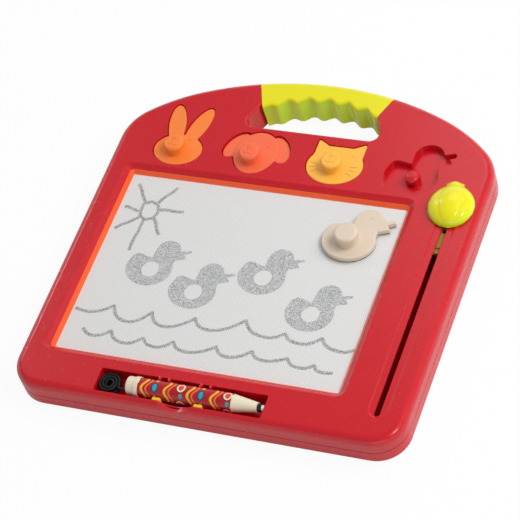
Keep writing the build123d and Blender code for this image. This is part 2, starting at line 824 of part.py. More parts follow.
def fruit(radius, height, reach, neck, neck_at, crown):
    """The upper half of a rounded knob with a neck and a flared crown at its +Y end, flattened in height."""
    join = radius * fruit_join_share
    start = sqrt(radius ** 2 - join ** 2)
    profile = make_face([
        ThreePointArc((0, -radius), (radius, 0), (start, join)),
        Spline((start, join), (neck, neck_at), (crown, reach),
               tangents=((-join, start), (crown - neck, reach - neck_at))),
        Line((crown, reach), (0, reach)),
        Line((0, reach), (0, -radius)),
    ])
    upper = Rot(0, 180, 0) * revolve(profile, Axis.Y, 180)
    return scale(upper, by=(1, 1, height / radius))


fruit_join_share = 0.66


def eraser_knob():
    """The slide's lime knob, with its stem blade and post."""
    base = face_z + knob_lift
    dome = fruit(knob_radius, knob_height, crown_reach, neck_radius, neck_reach, crown_radius)
    room = fruit(knob_radius - knob_wall, knob_height - knob_wall, neck_reach - knob_wall,
                 neck_radius - knob_wall, neck_reach - 2 * knob_wall, neck_radius - knob_wall)
    dome = dome - room
    pitch = 2 * crown_radius / crown_teeth
    for index in range(crown_teeth + 1):
        x = -crown_radius + index * pitch
        notch = make_face(Polyline((x - pitch / 2, crown_reach + slip_gap), (x, crown_reach - crown_notch),
                                   (x + pitch / 2, crown_reach + slip_gap), close=True))
        dome = dome - prism(notch, -knob_height, knob_height)
    dome = Pos(slot_x, knob_y, base) * dome
    carriage_top = skin_z - trough_depth - running_gap
    inner_top = base + knob_height - 2 * knob_wall
    blade = prism(Pos(slot_x, knob_y) * Rot(0, 0, 90) * SlotOverall(stem_length, stem_width),
                  carriage_top, inner_top)
    stem = blade + post(slot_x, knob_y, post_radius, base, base + knob_height - knob_wall / 2)
    knob = dome + stem
    return knob - post(slot_x, knob_y, knob_screw_radius + pilot_gap, carriage_top - overrun,
                       carriage_top + knob_screw_length)


carriage_top_z = skin_z - trough_depth - running_gap
carriage_low_z = carriage_top_z - carriage_thickness
bar_top_z = bar_bottom_z + bar_thickness
bar_y = knob_y + bar_offset


def eraser_carriage():
    """The slider under the face: a long plate seen through the slot, and a block down to the bar."""
    half = carriage_width / 2
    plate = block(slot_x - half, slot_x + half, knob_y - carriage_tail, knob_y + carriage_head,
                  carriage_low_z, carriage_top_z)
    plate = fillet(plate.edges().filter_by(Axis.Z), half / 4)
    hub = block(slot_x - half, slot_x + half, bar_y - bar_width / 2, knob_y + bar_width / 2,
                bar_bottom_z, carriage_low_z)
    body = plate + hub
    window = block(slot_x - slot_width / 2, slot_x + slot_width / 2, knob_y - carriage_window_to,
                   knob_y - carriage_window_from, carriage_low_z - overrun, carriage_top_z + overrun)
    groove_y = knob_y - carriage_groove_at
    groove = block(slot_x - half - overrun, slot_x + half + overrun, groove_y - carriage_groove_width / 2,
                   groove_y + carriage_groove_width / 2, carriage_top_z - carriage_groove_depth,
                   carriage_top_z + overrun)
    body = body - window - groove
    body = body - post(slot_x, knob_y, knob_screw_radius + pilot_gap, bar_bottom_z - overrun,
                       carriage_top_z + overrun)
    return body - post(slot_x, knob_y, knob_screw_head_radius + pilot_gap, bar_bottom_z - overrun,
                       carriage_low_z - carriage_thickness / 2)


def eraser_bar():
    """The channel that crosses under the screen and carries the magnet strip."""
    left = screen_x - half_screen - bar_overhang
    right = slot_x - carriage_width / 2
    bar = block(left, right, bar_y - bar_width / 2, bar_y + bar_width / 2, bar_bottom_z, bar_top_z)
    groove = block(left + bar_wall, screen_x + half_screen + bar_overhang, bar_y - magnet_strip_width / 2,
                   bar_y + magnet_strip_width / 2, bar_top_z - magnet_strip_thickness, bar_top_z + overrun)
    hollow = block(left + 2 * bar_wall, right - 2 * bar_wall, bar_y - bar_width / 2 + bar_wall,
                   bar_y + bar_width / 2 - bar_wall, bar_bottom_z - overrun,
                   bar_top_z - magnet_strip_thickness - bar_wall)
    return bar - groove - hollow


def eraser_magnet_strip():
    """The flexible magnet that wipes the screen from behind."""
    left = screen_x - half_screen - bar_overhang + bar_wall
    right = screen_x + half_screen + bar_overhang
    return block(left, right, bar_y - magnet_strip_width / 2, bar_y + magnet_strip_width / 2,
                 bar_top_z - magnet_strip_thickness, bar_top_z)


def knob_screw():
    """The screw that ties the knob's post to the carriage."""
    head_z = carriage_low_z - carriage_thickness / 2
    return machine_screw(slot_x, knob_y, head_z, knob_screw_radius, knob_screw_length,
                         knob_screw_head_radius, knob_screw_head_height)


# The stylus, along X with its nib at +X

ring_x = stylus_tail_x + stylus_cap_length
barrel_x = ring_x + stylus_ring_length
cone_x = barrel_x + stylus_barrel_length
collar_x = cone_x + stylus_cone_length
nib_x = collar_x + stylus_collar_length


def turned(points):
    """A solid turned about the stylus's axis from (x, radius) points."""
    profile = make_face(Polyline(*[(x, r) for x, r in points], close=True))
    return Pos(0, stylus_y, stylus_z) * revolve(profile, Axis.X)


def stylus_barrel():
    """The printed tube."""
    return turned([(barrel_x, stylus_radius - stylus_wall), (barrel_x, stylus_radius),
                   (cone_x, stylus_radius), (cone_x, stylus_radius - stylus_wall)])


def stylus_cap():
    """The tail plug, with its ring and a spigot inside the barrel."""
    spigot = stylus_radius - stylus_wall - slip_gap / 2
    body = turned([(stylus_tail_x, 0), (stylus_tail_x, stylus_radius), (ring_x, stylus_radius),
                   (ring_x, stylus_ring_radius), (barrel_x, stylus_ring_radius), (barrel_x, spigot),
                   (barrel_x + stylus_spigot, spigot), (barrel_x + stylus_spigot, 0)])
    tail = body.edges().filter_by(GeomType.CIRCLE).sort_by(Axis.X)[0]
    body = fillet(tail, stylus_cap_round)
    ring = body.edges().filter_by(GeomType.CIRCLE).filter_by(
        lambda e: abs(e.radius - stylus_ring_radius) < slip_gap)
    return fillet(ring, (stylus_ring_radius - stylus_radius) / 2)


def stylus_cone():
    """The cream nose, bored for the magnet."""
    spigot = stylus_radius - stylus_wall - slip_gap / 2
    bore = stylus_magnet_radius + slip_gap / 3
    magnet_back = nib_x - stylus_magnet_length
    return turned([(cone_x - stylus_spigot, bore), (cone_x - stylus_spigot, spigot), (cone_x, spigot),
                   (cone_x, stylus_cone_radius), (collar_x, stylus_cone_tip_radius), (collar_x, bore)]) \
        + turned([(cone_x, 0), (cone_x, spigot), (magnet_back, stylus_cone_tip_radius), (magnet_back, 0)])


def stylus_collar():
    """The black collar behind the nib."""
    bore = stylus_magnet_radius + slip_gap / 3
    body = turned([(collar_x, bore), (collar_x, stylus_collar_radius), (nib_x, stylus_collar_radius),
                   (nib_x, bore)])
    outer = body.edges().filter_by(GeomType.CIRCLE).filter_by(
        lambda e: abs(e.radius - stylus_collar_radius) < slip_gap)
    return fillet(outer.sort_by(Axis.X)[-1], stylus_collar_radius / 8)


def stylus_nib():
    """The round-tipped nib that touches the screen."""
    body = turned([(nib_x, 0), (nib_x, stylus_nib_radius), (nib_x + stylus_nib_length, stylus_nib_radius),
                   (nib_x + stylus_nib_length, 0)])
    tip = body.edges().sort_by(Axis.X)[-1]
    return fillet(tip, stylus_nib_radius * nib_round_share)


nib_round_share = 0.7


def stylus_magnet():
    """The rod magnet inside the nose."""
    return turned([(nib_x - stylus_magnet_length, 0), (nib_x - stylus_magnet_length, stylus_magnet_radius),
                   (nib_x, stylus_magnet_radius), (nib_x, 0)])


# The stamps

def stamp_origin(name):
    """Where a stamp's own origin lies: in its pocket, but the duck on the screen."""
    x, y = stamps[name]["place"]
    if name == "duck":
        return x + duck_on_screen[0], y + duck_on_screen[1], screen_z
    return x, y, pocket_floor_z


def stamp_place(name, height):
    """A stamp's own frame at a height over the surface it lies on."""
    x, y, floor = stamp_origin(name)
    return Pos(x, y, floor + height) * Rot(0, 0, duck_turn if name == "duck" else 0)


def stamp_knob(base, neck, top, height):
    """A knob turned from a foot, a waist and a wider rounded cap, from the height of zero."""
    cap_low = height - stamp_knob_cap
    profile = make_face(Polyline((0, 0), (base, 0), (neck, cap_low), (top, cap_low + stamp_knob_lip),
                                 (top, height), (0, height), close=True))
    rim = profile.vertices().filter_by(lambda v: v.X > neck and v.Y > height - slip_gap)
    profile = fillet(rim, stamp_knob_round)
    return revolve(Plane.XZ * profile, Axis.Z)


def stamp_solid(name):
    """A stamp's plate and hollow knob, above its magnet sheet."""
    plate = prism(stamps[name]["face"](0), 0, stamp_thickness)
    if name == "dog":
        plate = prism(Ellipse(*dog_head), 0, stamp_thickness)
        ears = prism(dog_face(0), 0, stamp_thickness - dog_ear_drop)
        ears = fillet(ears.edges().group_by(Axis.Z)[-1], stamp_edge_round)
    plate = fillet(plate.edges().group_by(Axis.Z)[-1], stamp_edge_round)
    if name == "dog":
        plate = plate + ears
    knob_dx, knob_dy = stamps[name]["knob"]
    growth = duck_knob_growth if name == "duck" else 0
    height = stamp_knob_height + (duck_knob_rise if name == "duck" else 0)
    shift = duck_knob_shift if name == "duck" else 0
    base = stamp_knob_radius + growth
    top = stamp_knob_top_radius + growth
    neck = stamp_knob_neck + growth
    body = plate + Pos(knob_dx - shift, knob_dy, stamp_thickness) * stamp_knob(base, neck, top, height)
    for side in (-1, 1):
        if name == "duck" and side < 0:
            continue
        eye_dx, eye_dy = stamps[name]["eyes"]
        body = body - post(side * eye_dx, eye_dy, eye_radius, stamp_thickness - eye_depth,
                           stamp_thickness + overrun)
    bore_base = stamp_knob_radius - stamp_knob_wall
    bore_top = stamp_knob_neck - stamp_knob_wall
    bore_height = height - stamp_knob_wall
    bore = Pos(knob_dx, knob_dy, stamp_thickness + bore_height / 2) * Cone(bore_base, bore_top, bore_height)
    bore = bore + post(knob_dx, knob_dy, bore_base, -overrun, stamp_thickness)
    return stamp_place(name, stamp_magnet_thickness) * (body - bore)


def stamp_magnet(name):
    """A stamp's flexible magnet sheet, with the hole that its peg passes."""
    knob_dx, knob_dy = stamps[name]["knob"]
    growth = duck_knob_growth if name == "duck" else 0
    hole = stamp_knob_radius - stamp_knob_wall + growth
    sheet = prism(stamps[name]["face"](-stamp_magnet_inset), 0, stamp_magnet_thickness)
    sheet = sheet - post(knob_dx, knob_dy, hole, -overrun, stamp_magnet_thickness + overrun)
    return stamp_place(name, 0) * sheet


# The tether: a lead along the tray's front wall, a coil in the tray's left end, and a lead to the stylus.
# The coil is wound in layers that spiral in and out, and it climbs where the spiral reverses.

coil_y = stylus_y
coil_low_z = tray_floor_z + cord_diameter / 2 + slip_gap


def coil_stages():
    """Each stage of the coil: its turns, and which way it spirals at its start and at its end."""
    stages = []
    for layer in range(coil_layers):
        way = -1 if layer % 2 == 0 else 1
        last = layer == coil_layers - 1
        stages.append((coil_turns_per_layer + (coil_last_turn if last else 0), way, way))
        if not last:
            stages.append((coil_climb_turn, way, -way))
    return stages


def coil_place(turns):
    """The point that the coil reaches after a number of turns, clockwise from its front."""
    radius = coil_outer_radius
    height = coil_low_z
    left = turns
    for length, way_in, way_out in coil_stages():
        part = min(left, length) / length
        reverses = way_in != way_out
        bend = part ** 2 / 2 if reverses else 0
        radius = radius + coil_pitch * length * (way_in * part + (way_out - way_in) * bend)
        height = height + (coil_layer_pitch * part if reverses else 0)
        left = left - length
        if left <= 0:
            break
    angle = radians(-90 - 360 * turns)
    return Vector(coil_x + radius * cos(angle), coil_y + radius * sin(angle), height)


def biarc(start, start_way, end, end_way):
    """Two tangent arcs from one point and direction to another."""
    across = end - start
    ways = start_way + end_way
    spread = 2 * (1 - start_way.dot(end_way))
    along = across.dot(ways)
    reach = (sqrt(along ** 2 + spread * across.dot(across)) - along) / spread
    first = start + start_way * reach
    second = end - end_way * reach
    middle = (first + second) * 0.5
    way = (second - first).normalized()
    return [TangentArc(start, middle, tangent=start_way), TangentArc(middle, end, tangent=way)]


def coil_path():
    """The coil's centre line: a straight start, a biarc for each quarter turn, and a straight end."""
    total = sum(length for length, way_in, way_out in coil_stages())
    quarters = round(4 * total)
    nudge = total / (100 * quarters)
    points = [coil_place(0)]
    ways = [Vector(-1, 0, 0)]
    for quarter in range(1, quarters):
        turns = total * quarter / quarters
        points.append(coil_place(turns))
        ways.append((coil_place(turns + nudge) - coil_place(turns - nudge)).normalized())
    end = coil_place(total)
    points.append(end + Vector(0, cord_diameter, 0))
    ways.append(Vector(0, -1, 0))
    edges = [Line(points[0] + Vector(cord_diameter, 0, 0), points[0])]
    for index in range(quarters):
        edges = edges + biarc(points[index], ways[index], points[index + 1], ways[index + 1])
    edges.append(Line(points[-1], end))
    return Wire([edge for curve in edges for edge in curve.edges()])


def least_gap(path):
    """The least gap between two stretches of a wound cord, measured on points along it."""
    count = int(path.length / (cord_diameter / 3))
    spots = [tuple(path.position_at(index / count)) for index in range(count + 1)]
    apart = int(pi * cord_diameter / (path.length / count))
    least = path.length
    for index, spot in enumerate(spots):
        for other in spots[index + apart:]:
            least = min(least, hypot(spot[0] - other[0], spot[1] - other[1], spot[2] - other[2]))
    return least - cord_diameter


def tether_coil(path):
    """The coil of cord that lies in the tray's left end."""
    section = Plane(origin=path @ 0, z_dir=(path % 0)) * Circle(cord_diameter / 2)
    return sweep(section, path)


def lead_tube(points, radii):
    """A cord's free stretch: straight runs joined by tangent arcs."""
    if radii:
        path = FilletPolyline(*points, radius=radii)
    else:
        path = Line(*points)
    section = Plane(origin=path @ 0, z_dir=(path % 0)) * Circle(cord_diameter / 2)
    return sweep(section, path)


def corner_radii(points):
    """The radius of each arc: 0.45 of the shorter run beside it, over the tangent of half the turn."""
    radii = []
    for before, corner, after in zip(points, points[1:], points[2:]):
        first = corner - before
        second = after - corner
        turn = radians(first.get_angle(second))
        radii.append(run_share * min(first.length, second.length) / tan(turn / 2))
    return radii


run_share = 0.45
coil_start = coil_place(0)
coil_end = coil_place(sum(length for length, way_in, way_out in coil_stages()))
lead_run = lead_drop / (1 + cos(radians(45)))
lead_pen_points = [
    coil_end,
    coil_end + Vector(0, -lead_run, 0),
    coil_end + Vector(lead_drop - lead_run, -lead_drop, 0),
    Vector(stylus_tail_x, coil_end.Y - lead_drop, coil_end.Z),
]
lead_board_points = [
    Vector(anchor_x, coil_start.Y, coil_start.Z),
    coil_start + Vector(cord_diameter, 0, 0),
]


def tether_anchor():
    """The small eye at the foot of the tray's front wall where the tether is fixed."""
    y = coil_start.Y
    body = block(anchor_x, anchor_x + anchor_length, tray_front, y + anchor_width / 2,
                 tray_floor_z, tray_floor_z + anchor_height)
    return fillet(body.edges().group_by(Axis.Z)[-1].filter_by(Axis.X).sort_by(Axis.Y)[-1], anchor_width / 4)


def save(name, shape):
    """One node's solid or solids, written to its own file."""
    solids = shape if isinstance(shape, list) else [shape]
    whole = Compound(children=[solid for piece in solids for solid in piece.solids()])
    export_step(whole, f"parts/{name}.step")
    print(name, len(whole.solids()), round(sum(solid.volume for solid in whole.solids()), 1))


save("front_shell", front_shell())
save("back_shell", back_shell())
save("case_screws", case_screws())
save("grip_front", grip_front())
save("grip_back", grip_back())
save("grip_screws", grip_screws())
save("screen_bezel", screen_bezel())
save("screen_front_film", screen_sheet(screen_z - film_thickness, film_thickness))
save("screen_cell_sheet", screen_sheet(screen_z - film_thickness - cell_thickness, cell_thickness))
save("screen_back_film", screen_sheet(stack_z, film_thickness))
save("pen_clips", pen_clips())
save("eraser_knob", eraser_knob())
save("eraser_carriage", eraser_carriage())
save("eraser_bar", eraser_bar())
save("eraser_magnet_strip", eraser_magnet_strip())
save("knob_screw", knob_screw())
save("stylus_barrel", stylus_barrel())
save("stylus_cap", stylus_cap())
save("stylus_cone", stylus_cone())
save("stylus_collar", stylus_collar())
save("stylus_nib", stylus_nib())
save("stylus_magnet", stylus_magnet())
for stamp_name in stamps:
    save(f"{stamp_name}_stamp", stamp_solid(stamp_name))
    save(f"{stamp_name}_magnet", stamp_magnet(stamp_name))
save("tether_anchor", tether_anchor())
coil = coil_path()
save("tether_coil", tether_coil(coil))
save("tether_lead_board", lead_tube(lead_board_points, []))
save("tether_lead_pen", lead_tube(lead_pen_points, corner_radii(lead_pen_points)))
print("lead arc radii", [round(radius, 1) for radius in corner_radii(lead_pen_points)])
print("coil length", round(coil.length, 1), "least gap", round(least_gap(coil), 2))
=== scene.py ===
# %% [markdown]
# A magnetic drawing board for a child. Most of it is hard moulded plastic whose shape the CAD frame
# already holds, so this lesson is about finish: glossy ABS in several colours, a screen of small cells,
# the grey marks that iron powder leaves in it, a printed pen, and a thin braided tether.
#
# Everything is in metres, in the board's own frame: X across, Y up the board, Z out of its face.

# %% The frame
from math import cos, pi, radians, sin

import bmesh
import bpy
from mathutils import Matrix, Quaternion, Vector


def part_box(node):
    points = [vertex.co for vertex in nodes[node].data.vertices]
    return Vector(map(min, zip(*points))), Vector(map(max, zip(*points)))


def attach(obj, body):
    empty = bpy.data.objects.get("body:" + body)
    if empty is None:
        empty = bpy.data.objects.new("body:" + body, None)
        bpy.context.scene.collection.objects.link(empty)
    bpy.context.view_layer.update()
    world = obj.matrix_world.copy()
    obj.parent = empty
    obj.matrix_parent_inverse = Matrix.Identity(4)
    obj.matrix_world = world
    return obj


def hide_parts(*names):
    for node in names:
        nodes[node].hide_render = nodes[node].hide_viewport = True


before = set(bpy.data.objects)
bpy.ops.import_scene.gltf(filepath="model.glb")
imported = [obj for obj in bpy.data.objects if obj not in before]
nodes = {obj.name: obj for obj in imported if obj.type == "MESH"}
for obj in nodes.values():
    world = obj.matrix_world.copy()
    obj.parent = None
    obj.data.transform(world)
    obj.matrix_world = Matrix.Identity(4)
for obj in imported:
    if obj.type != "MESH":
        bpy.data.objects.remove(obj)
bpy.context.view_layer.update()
MM = 0.001


def millimetres(*values):
    """A point or a size given in millimetres, in metres."""
    return Vector(values) * MM


def box_of(node):
    """A node's lowest and highest corners, as vectors."""
    low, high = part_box(node)
    return Vector(low), Vector(high)


# %% [markdown]
# The camera stands where the photographer stood: to the right of the board's foot, looking down at about
# fifty degrees, and rolled so that the board leans in the frame. A long lens keeps its sides nearly
# parallel.

# %% The camera
CAMERA_AZIMUTH = radians(35.8)
CAMERA_HEIGHT = radians(50.28)
CAMERA_ROLL = radians(-20.73)
CAMERA_TARGET = millimetres(-1.0, -16.15, 21.7)
CAMERA_DISTANCE = 2.0186
CAMERA_LENS = 163.2
SENSOR_WIDTH = 36.0
FARTHEST_SEEN = 20.0

towards_camera = Vector((
    sin(CAMERA_AZIMUTH) * cos(CAMERA_HEIGHT),
    -cos(CAMERA_AZIMUTH) * cos(CAMERA_HEIGHT),
    sin(CAMERA_HEIGHT),
))
camera_data = bpy.data.cameras.new("camera")
camera_data.lens = CAMERA_LENS
camera_data.sensor_width = SENSOR_WIDTH
camera_data.clip_end = FARTHEST_SEEN
camera = bpy.data.objects.new("camera", camera_data)
bpy.context.collection.objects.link(camera)
camera.location = CAMERA_TARGET + towards_camera * CAMERA_DISTANCE
camera.rotation_mode = "QUATERNION"
camera.rotation_quaternion = towards_camera.to_track_quat("Z", "Y") @ Quaternion((0, 0, 1), CAMERA_ROLL)
bpy.context.scene.camera = camera
bpy.context.scene.view_settings.view_transform = "Standard"
print("camera at", [round(value, 3) for value in camera.location])

# %% [markdown]
# The tether is a thin braided cord that ties the pen to the board. Put away, it lies in the tray's end as
# a small coil. It is one smooth line from the anchor, along the tray's front, round the coil, and to the
# pen's cap. The coil winds in layers that spiral in and out, and it climbs where the spiral reverses.
# The line comes first, because a cord that takes too much room would change the frame. Each point carries
# the cord's true radius and the bevel depth stays one, so that the curve's own box is right too.

# %% The tether's line
CORD_THICKNESS = 2.2
CORD_DIAMETER = CORD_THICKNESS * MM
TRAY_FLOOR = 16.0
FLOOR_GAP = 0.15
COIL_X, COIL_Y = -85.3, -162.9
COIL_RADIUS = 9.0
COIL_PITCH = 2.65
LAYER_PITCH = 2.75
LAYERS = 4
TURNS_PER_LAYER = 2
CLIMB = 0.5
LAST_TURN = 0.25
POINTS_PER_TURN = 16
CORD_LOW = TRAY_FLOOR + CORD_THICKNESS / 2 + FLOOR_GAP
ANCHOR_X = -56.0
CAP_X = -67.0
LEAD_DROP = 4.24
LEAD_TURN = radians(45)
LEAD_IN = 2.2
COIL_START = -90


def coil_stages():
    """Each stage's turns, and which way it spirals at its start and at its end."""
    stages = []
    for layer in range(LAYERS):
        way = -1 if layer % 2 == 0 else 1
        last = layer == LAYERS - 1
        stages.append((TURNS_PER_LAYER + (LAST_TURN if last else 0), way, way))
        if not last:
            stages.append((CLIMB, way, -way))
    return stages


def coil_place(turns):
    """The point that the coil reaches after a number of turns, in millimetres."""
    radius = COIL_RADIUS
    height = CORD_LOW
    left = turns
    for length, way_in, way_out in coil_stages():
        part = min(left, length) / length
        bend = part ** 2 / 2 if way_in != way_out else 0
        radius += COIL_PITCH * length * (way_in * part + (way_out - way_in) * bend)
        height += LAYER_PITCH * part if way_in != way_out else 0
        left -= length
        if left <= 0:
            break
    angle = radians(COIL_START - 360 * turns)
    return Vector((COIL_X + radius * cos(angle), COIL_Y + radius * sin(angle), height))


total_turns = sum(length for length, way_in, way_out in coil_stages())
steps = round(total_turns * POINTS_PER_TURN)
coil = [coil_place(total_turns * step / steps) for step in range(steps + 1)]
lead_run = LEAD_DROP / (1 + cos(LEAD_TURN))
route = [Vector((ANCHOR_X, coil[0].y, coil[0].z)), coil[0] + Vector((LEAD_IN, 0, 0))]
route += coil
route += [
    coil[-1] + Vector((0, -lead_run, 0)),
    coil[-1] + Vector((LEAD_DROP - lead_run, -LEAD_DROP, 0)),
    Vector((CAP_X, coil[-1].y - LEAD_DROP, coil[-1].z)),
]

# %% The tether's cord
curve = bpy.data.curves.new("tether", "CURVE")
curve.dimensions = "3D"
curve.bevel_depth = 1.0
curve.bevel_resolution = 3
curve.resolution_u = 3
curve.use_fill_caps = True
spline = curve.splines.new("NURBS")
spline.points.add(len(route) - 1)
for target, point in zip(spline.points, route):
    target.co = (*(point * MM), 1.0)
    target.radius = CORD_DIAMETER / 2
spline.order_u = 3
spline.use_endpoint_u = True
tether = bpy.data.objects.new("tether", curve)
bpy.context.collection.objects.link(tether)
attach(tether, "board")
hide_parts("tether_coil", "tether_lead_board", "tether_lead_pen")
print("tether points", len(route))

# %% [markdown]
# Every material below starts from an sRGB colour and a few nodes, so small helpers come first. One turns a
# hex colour into the linear values that a shader works with. One adds a node, sets its options, and fills
# or links its inputs in one call. The last two start a material and lay it on a CAD node.

# %% Helpers for materials


def colour(hexcode):
    """An sRGB hex colour as linear values."""
    channels = [int(hexcode[i:i + 2], 16) / 255 for i in (1, 3, 5)]
    linear = [c / 12.92 if c <= 0.04045 else ((c + 0.055) / 1.055) ** 2.4 for c in channels]
    return (*linear, 1.0)


def add(tree, kind, inputs=None, **settings):
    """Adds a node with its settings, and sets or links its inputs by name or number."""
    node = tree.nodes.new(kind)
    for name, value in settings.items():
        setattr(node, name, value)
    for name, value in (inputs or {}).items():
        if isinstance(value, bpy.types.NodeSocket):
            tree.links.new(value, node.inputs[name])
        else:
            node.inputs[name].default_value = value
    return node


def new_material(name):
    """An empty material with a Principled shader: the material, its tree and its shader."""
    material = bpy.data.materials.new(name)
    material.use_nodes = True
    tree = material.node_tree
    return material, tree, tree.nodes["Principled BSDF"]


def dress(node, material):
    """Gives a CAD node its finish."""
    mesh = nodes[node].data
    mesh.materials.clear()
    mesh.materials.append(material)


# %% [markdown]
# The photograph is a product shot on white, with almost no shadow. A large pale floor and an even dome of
# light give that. The main lamp is a big soft panel on the board's right, so left sides fall into shade as
# they do in the picture. It lights the board but isn't mirrored, or it would lay a pale band on every
# sloped edge. Two small panels give the glints on round parts, and a weak wide one stands where the face
# mirrors it at its upper right: without a bright shape to mirror, gloss looks like chalk. Mirrored rays
# see the floor darker than the camera does, and the dome white only near the horizon, as in a studio with
# a paper sweep.

# %% The floor, the dome and the lamps
FLOOR_HALF = 6.0
FLOOR_WHITE = 0.93
FLOOR_MIRRORED = 0.26
PAPER_ROUGHNESS = 0.9
PAPER_SPECULAR = 0.1
DOME_STRENGTH = 0.38
BAND_FULL_BELOW = 0.2
BAND_GONE_ABOVE = 0.55

sheet = bmesh.new()
bmesh.ops.create_grid(sheet, x_segments=1, y_segments=1, size=FLOOR_HALF)
floor_mesh = bpy.data.meshes.new("floor")
sheet.to_mesh(floor_mesh)
sheet.free()
floor = bpy.data.objects.new("floor", floor_mesh)
bpy.context.collection.objects.link(floor)

floor_paint, tree, shader = new_material("studio paper, pale")
shader.inputs["Base Color"].default_value = colour("#F4F4F4")
shader.inputs["Roughness"].default_value = PAPER_ROUGHNESS
shader.inputs["Specular IOR Level"].default_value = PAPER_SPECULAR
rays = add(tree, "ShaderNodeLightPath")
white = add(tree, "ShaderNodeEmission", {"Color": colour("#FFFFFF"), "Strength": 1.0})
seen = add(tree, "ShaderNodeMath", {
    0: rays.outputs["Is Camera Ray"], 1: rays.outputs["Is Transmission Ray"],
}, operation="MAXIMUM")
seen = add(tree, "ShaderNodeMath", {0: seen.outputs[0], 1: FLOOR_WHITE}, operation="MULTIPLY")
mirrored = add(tree, "ShaderNodeMath", {
    0: rays.outputs["Is Glossy Ray"], 1: FLOOR_MIRRORED,
}, operation="MULTIPLY")
share = add(tree, "ShaderNodeMath", {0: seen.outputs[0], 1: mirrored.outputs[0]}, operation="MAXIMUM")
mix = add(tree, "ShaderNodeMixShader", {0: share.outputs[0], 1: shader.outputs[0], 2: white.outputs[0]})
tree.links.new(mix.outputs[0], tree.nodes["Material Output"].inputs["Surface"])
floor_mesh.materials.append(floor_paint)

world = bpy.data.worlds.new("white studio")
bpy.context.scene.world = world
world.use_nodes = True
sky = world.node_tree
background = sky.nodes["Background"]
background.inputs["Color"].default_value = (1.0, 1.0, 1.0, 1.0)
rays = add(sky, "ShaderNodeLightPath")
way = add(sky, "ShaderNodeSeparateXYZ", {"Vector": add(sky, "ShaderNodeTexCoord").outputs["Generated"]})
low_band = add(sky, "ShaderNodeMapRange", {
    "Value": way.outputs["Z"], "From Min": BAND_FULL_BELOW, "From Max": BAND_GONE_ABOVE,
    "To Min": 1.0, "To Max": 0.0,
}, interpolation_type="SMOOTHSTEP")
mirrored = add(sky, "ShaderNodeMath", {
    0: rays.outputs["Is Glossy Ray"], 1: low_band.outputs[0],
}, operation="MULTIPLY")
seen = add(sky, "ShaderNodeMath", {
    0: mirrored.outputs[0], 1: rays.outputs["Is Camera Ray"],
}, operation="MAXIMUM")
seen = add(sky, "ShaderNodeMath", {
    0: seen.outputs[0], 1: rays.outputs["Is Transmission Ray"],
}, operation="MAXIMUM")
strength = add(sky, "ShaderNodeMapRange", {"Value": seen.outputs[0], "To Min": DOME_STRENGTH, "To Max": 1.0})
sky.links.new(strength.outputs[0], background.inputs["Strength"])


def lamp(name, place, size, power):
    """A soft rectangular lamp at a place, turned towards the board."""
    data = bpy.data.lights.new(name, "AREA")
    data.shape = "RECTANGLE"
    data.size, data.size_y = size
    data.energy = power
    made = bpy.data.objects.new(name, data)
    bpy.context.collection.objects.link(made)
    made.location = place
    made.rotation_euler = Vector(place).to_track_quat("Z", "Y").to_euler()
    return made


lamp("main panel", (1.2, 0.55, 1.45), (1.1, 1.1), 22.0).visible_glossy = False
lamp("right glint", (1.3, -0.3, 1.35), (0.3, 0.3), 5.5)
lamp("left glint", (-1.5, 0.95, 1.4), (0.3, 0.3), 2.9)
lamp("mirrored panel", (-0.05, 1.5, 1.6), (1.1, 0.9), 4.5)
lamp("front fill", (0.7, -1.9, 0.9), (1.6, 0.6), 3.0)

# %% [markdown]
# The shells are injection-moulded ABS, coloured right through and left glossy by a polished mould. ABS has
# an index of refraction of about 1.53 and a roughness near 0.25. A moulded face is never optically flat:
# it swells and sinks a little over some centimetres, which bends the highlights, and handling leaves a
# fine haze. Both are noise here. The red and the lime plastic get a thin clear coat too, which gives them
# small sharp glints over the softer gloss.

# %% Moulded plastic
SWELL_SIZE = 45 * MM
HAZE_SIZE = 6 * MM
COAT_ROUGHNESS = 0.16
SWELL_BUMP = 0.8 * MM
ABS_IOR = 1.53
DEEPER_SHARE = 0.95
# Facings between which the painted shade on upright sides fades into the plain colour.
SHADED_SIDE_BELOW, UNSHADED_TOP_ABOVE = 0.05, 0.9
NOISE_LOW, NOISE_HIGH = 0.3, 0.7


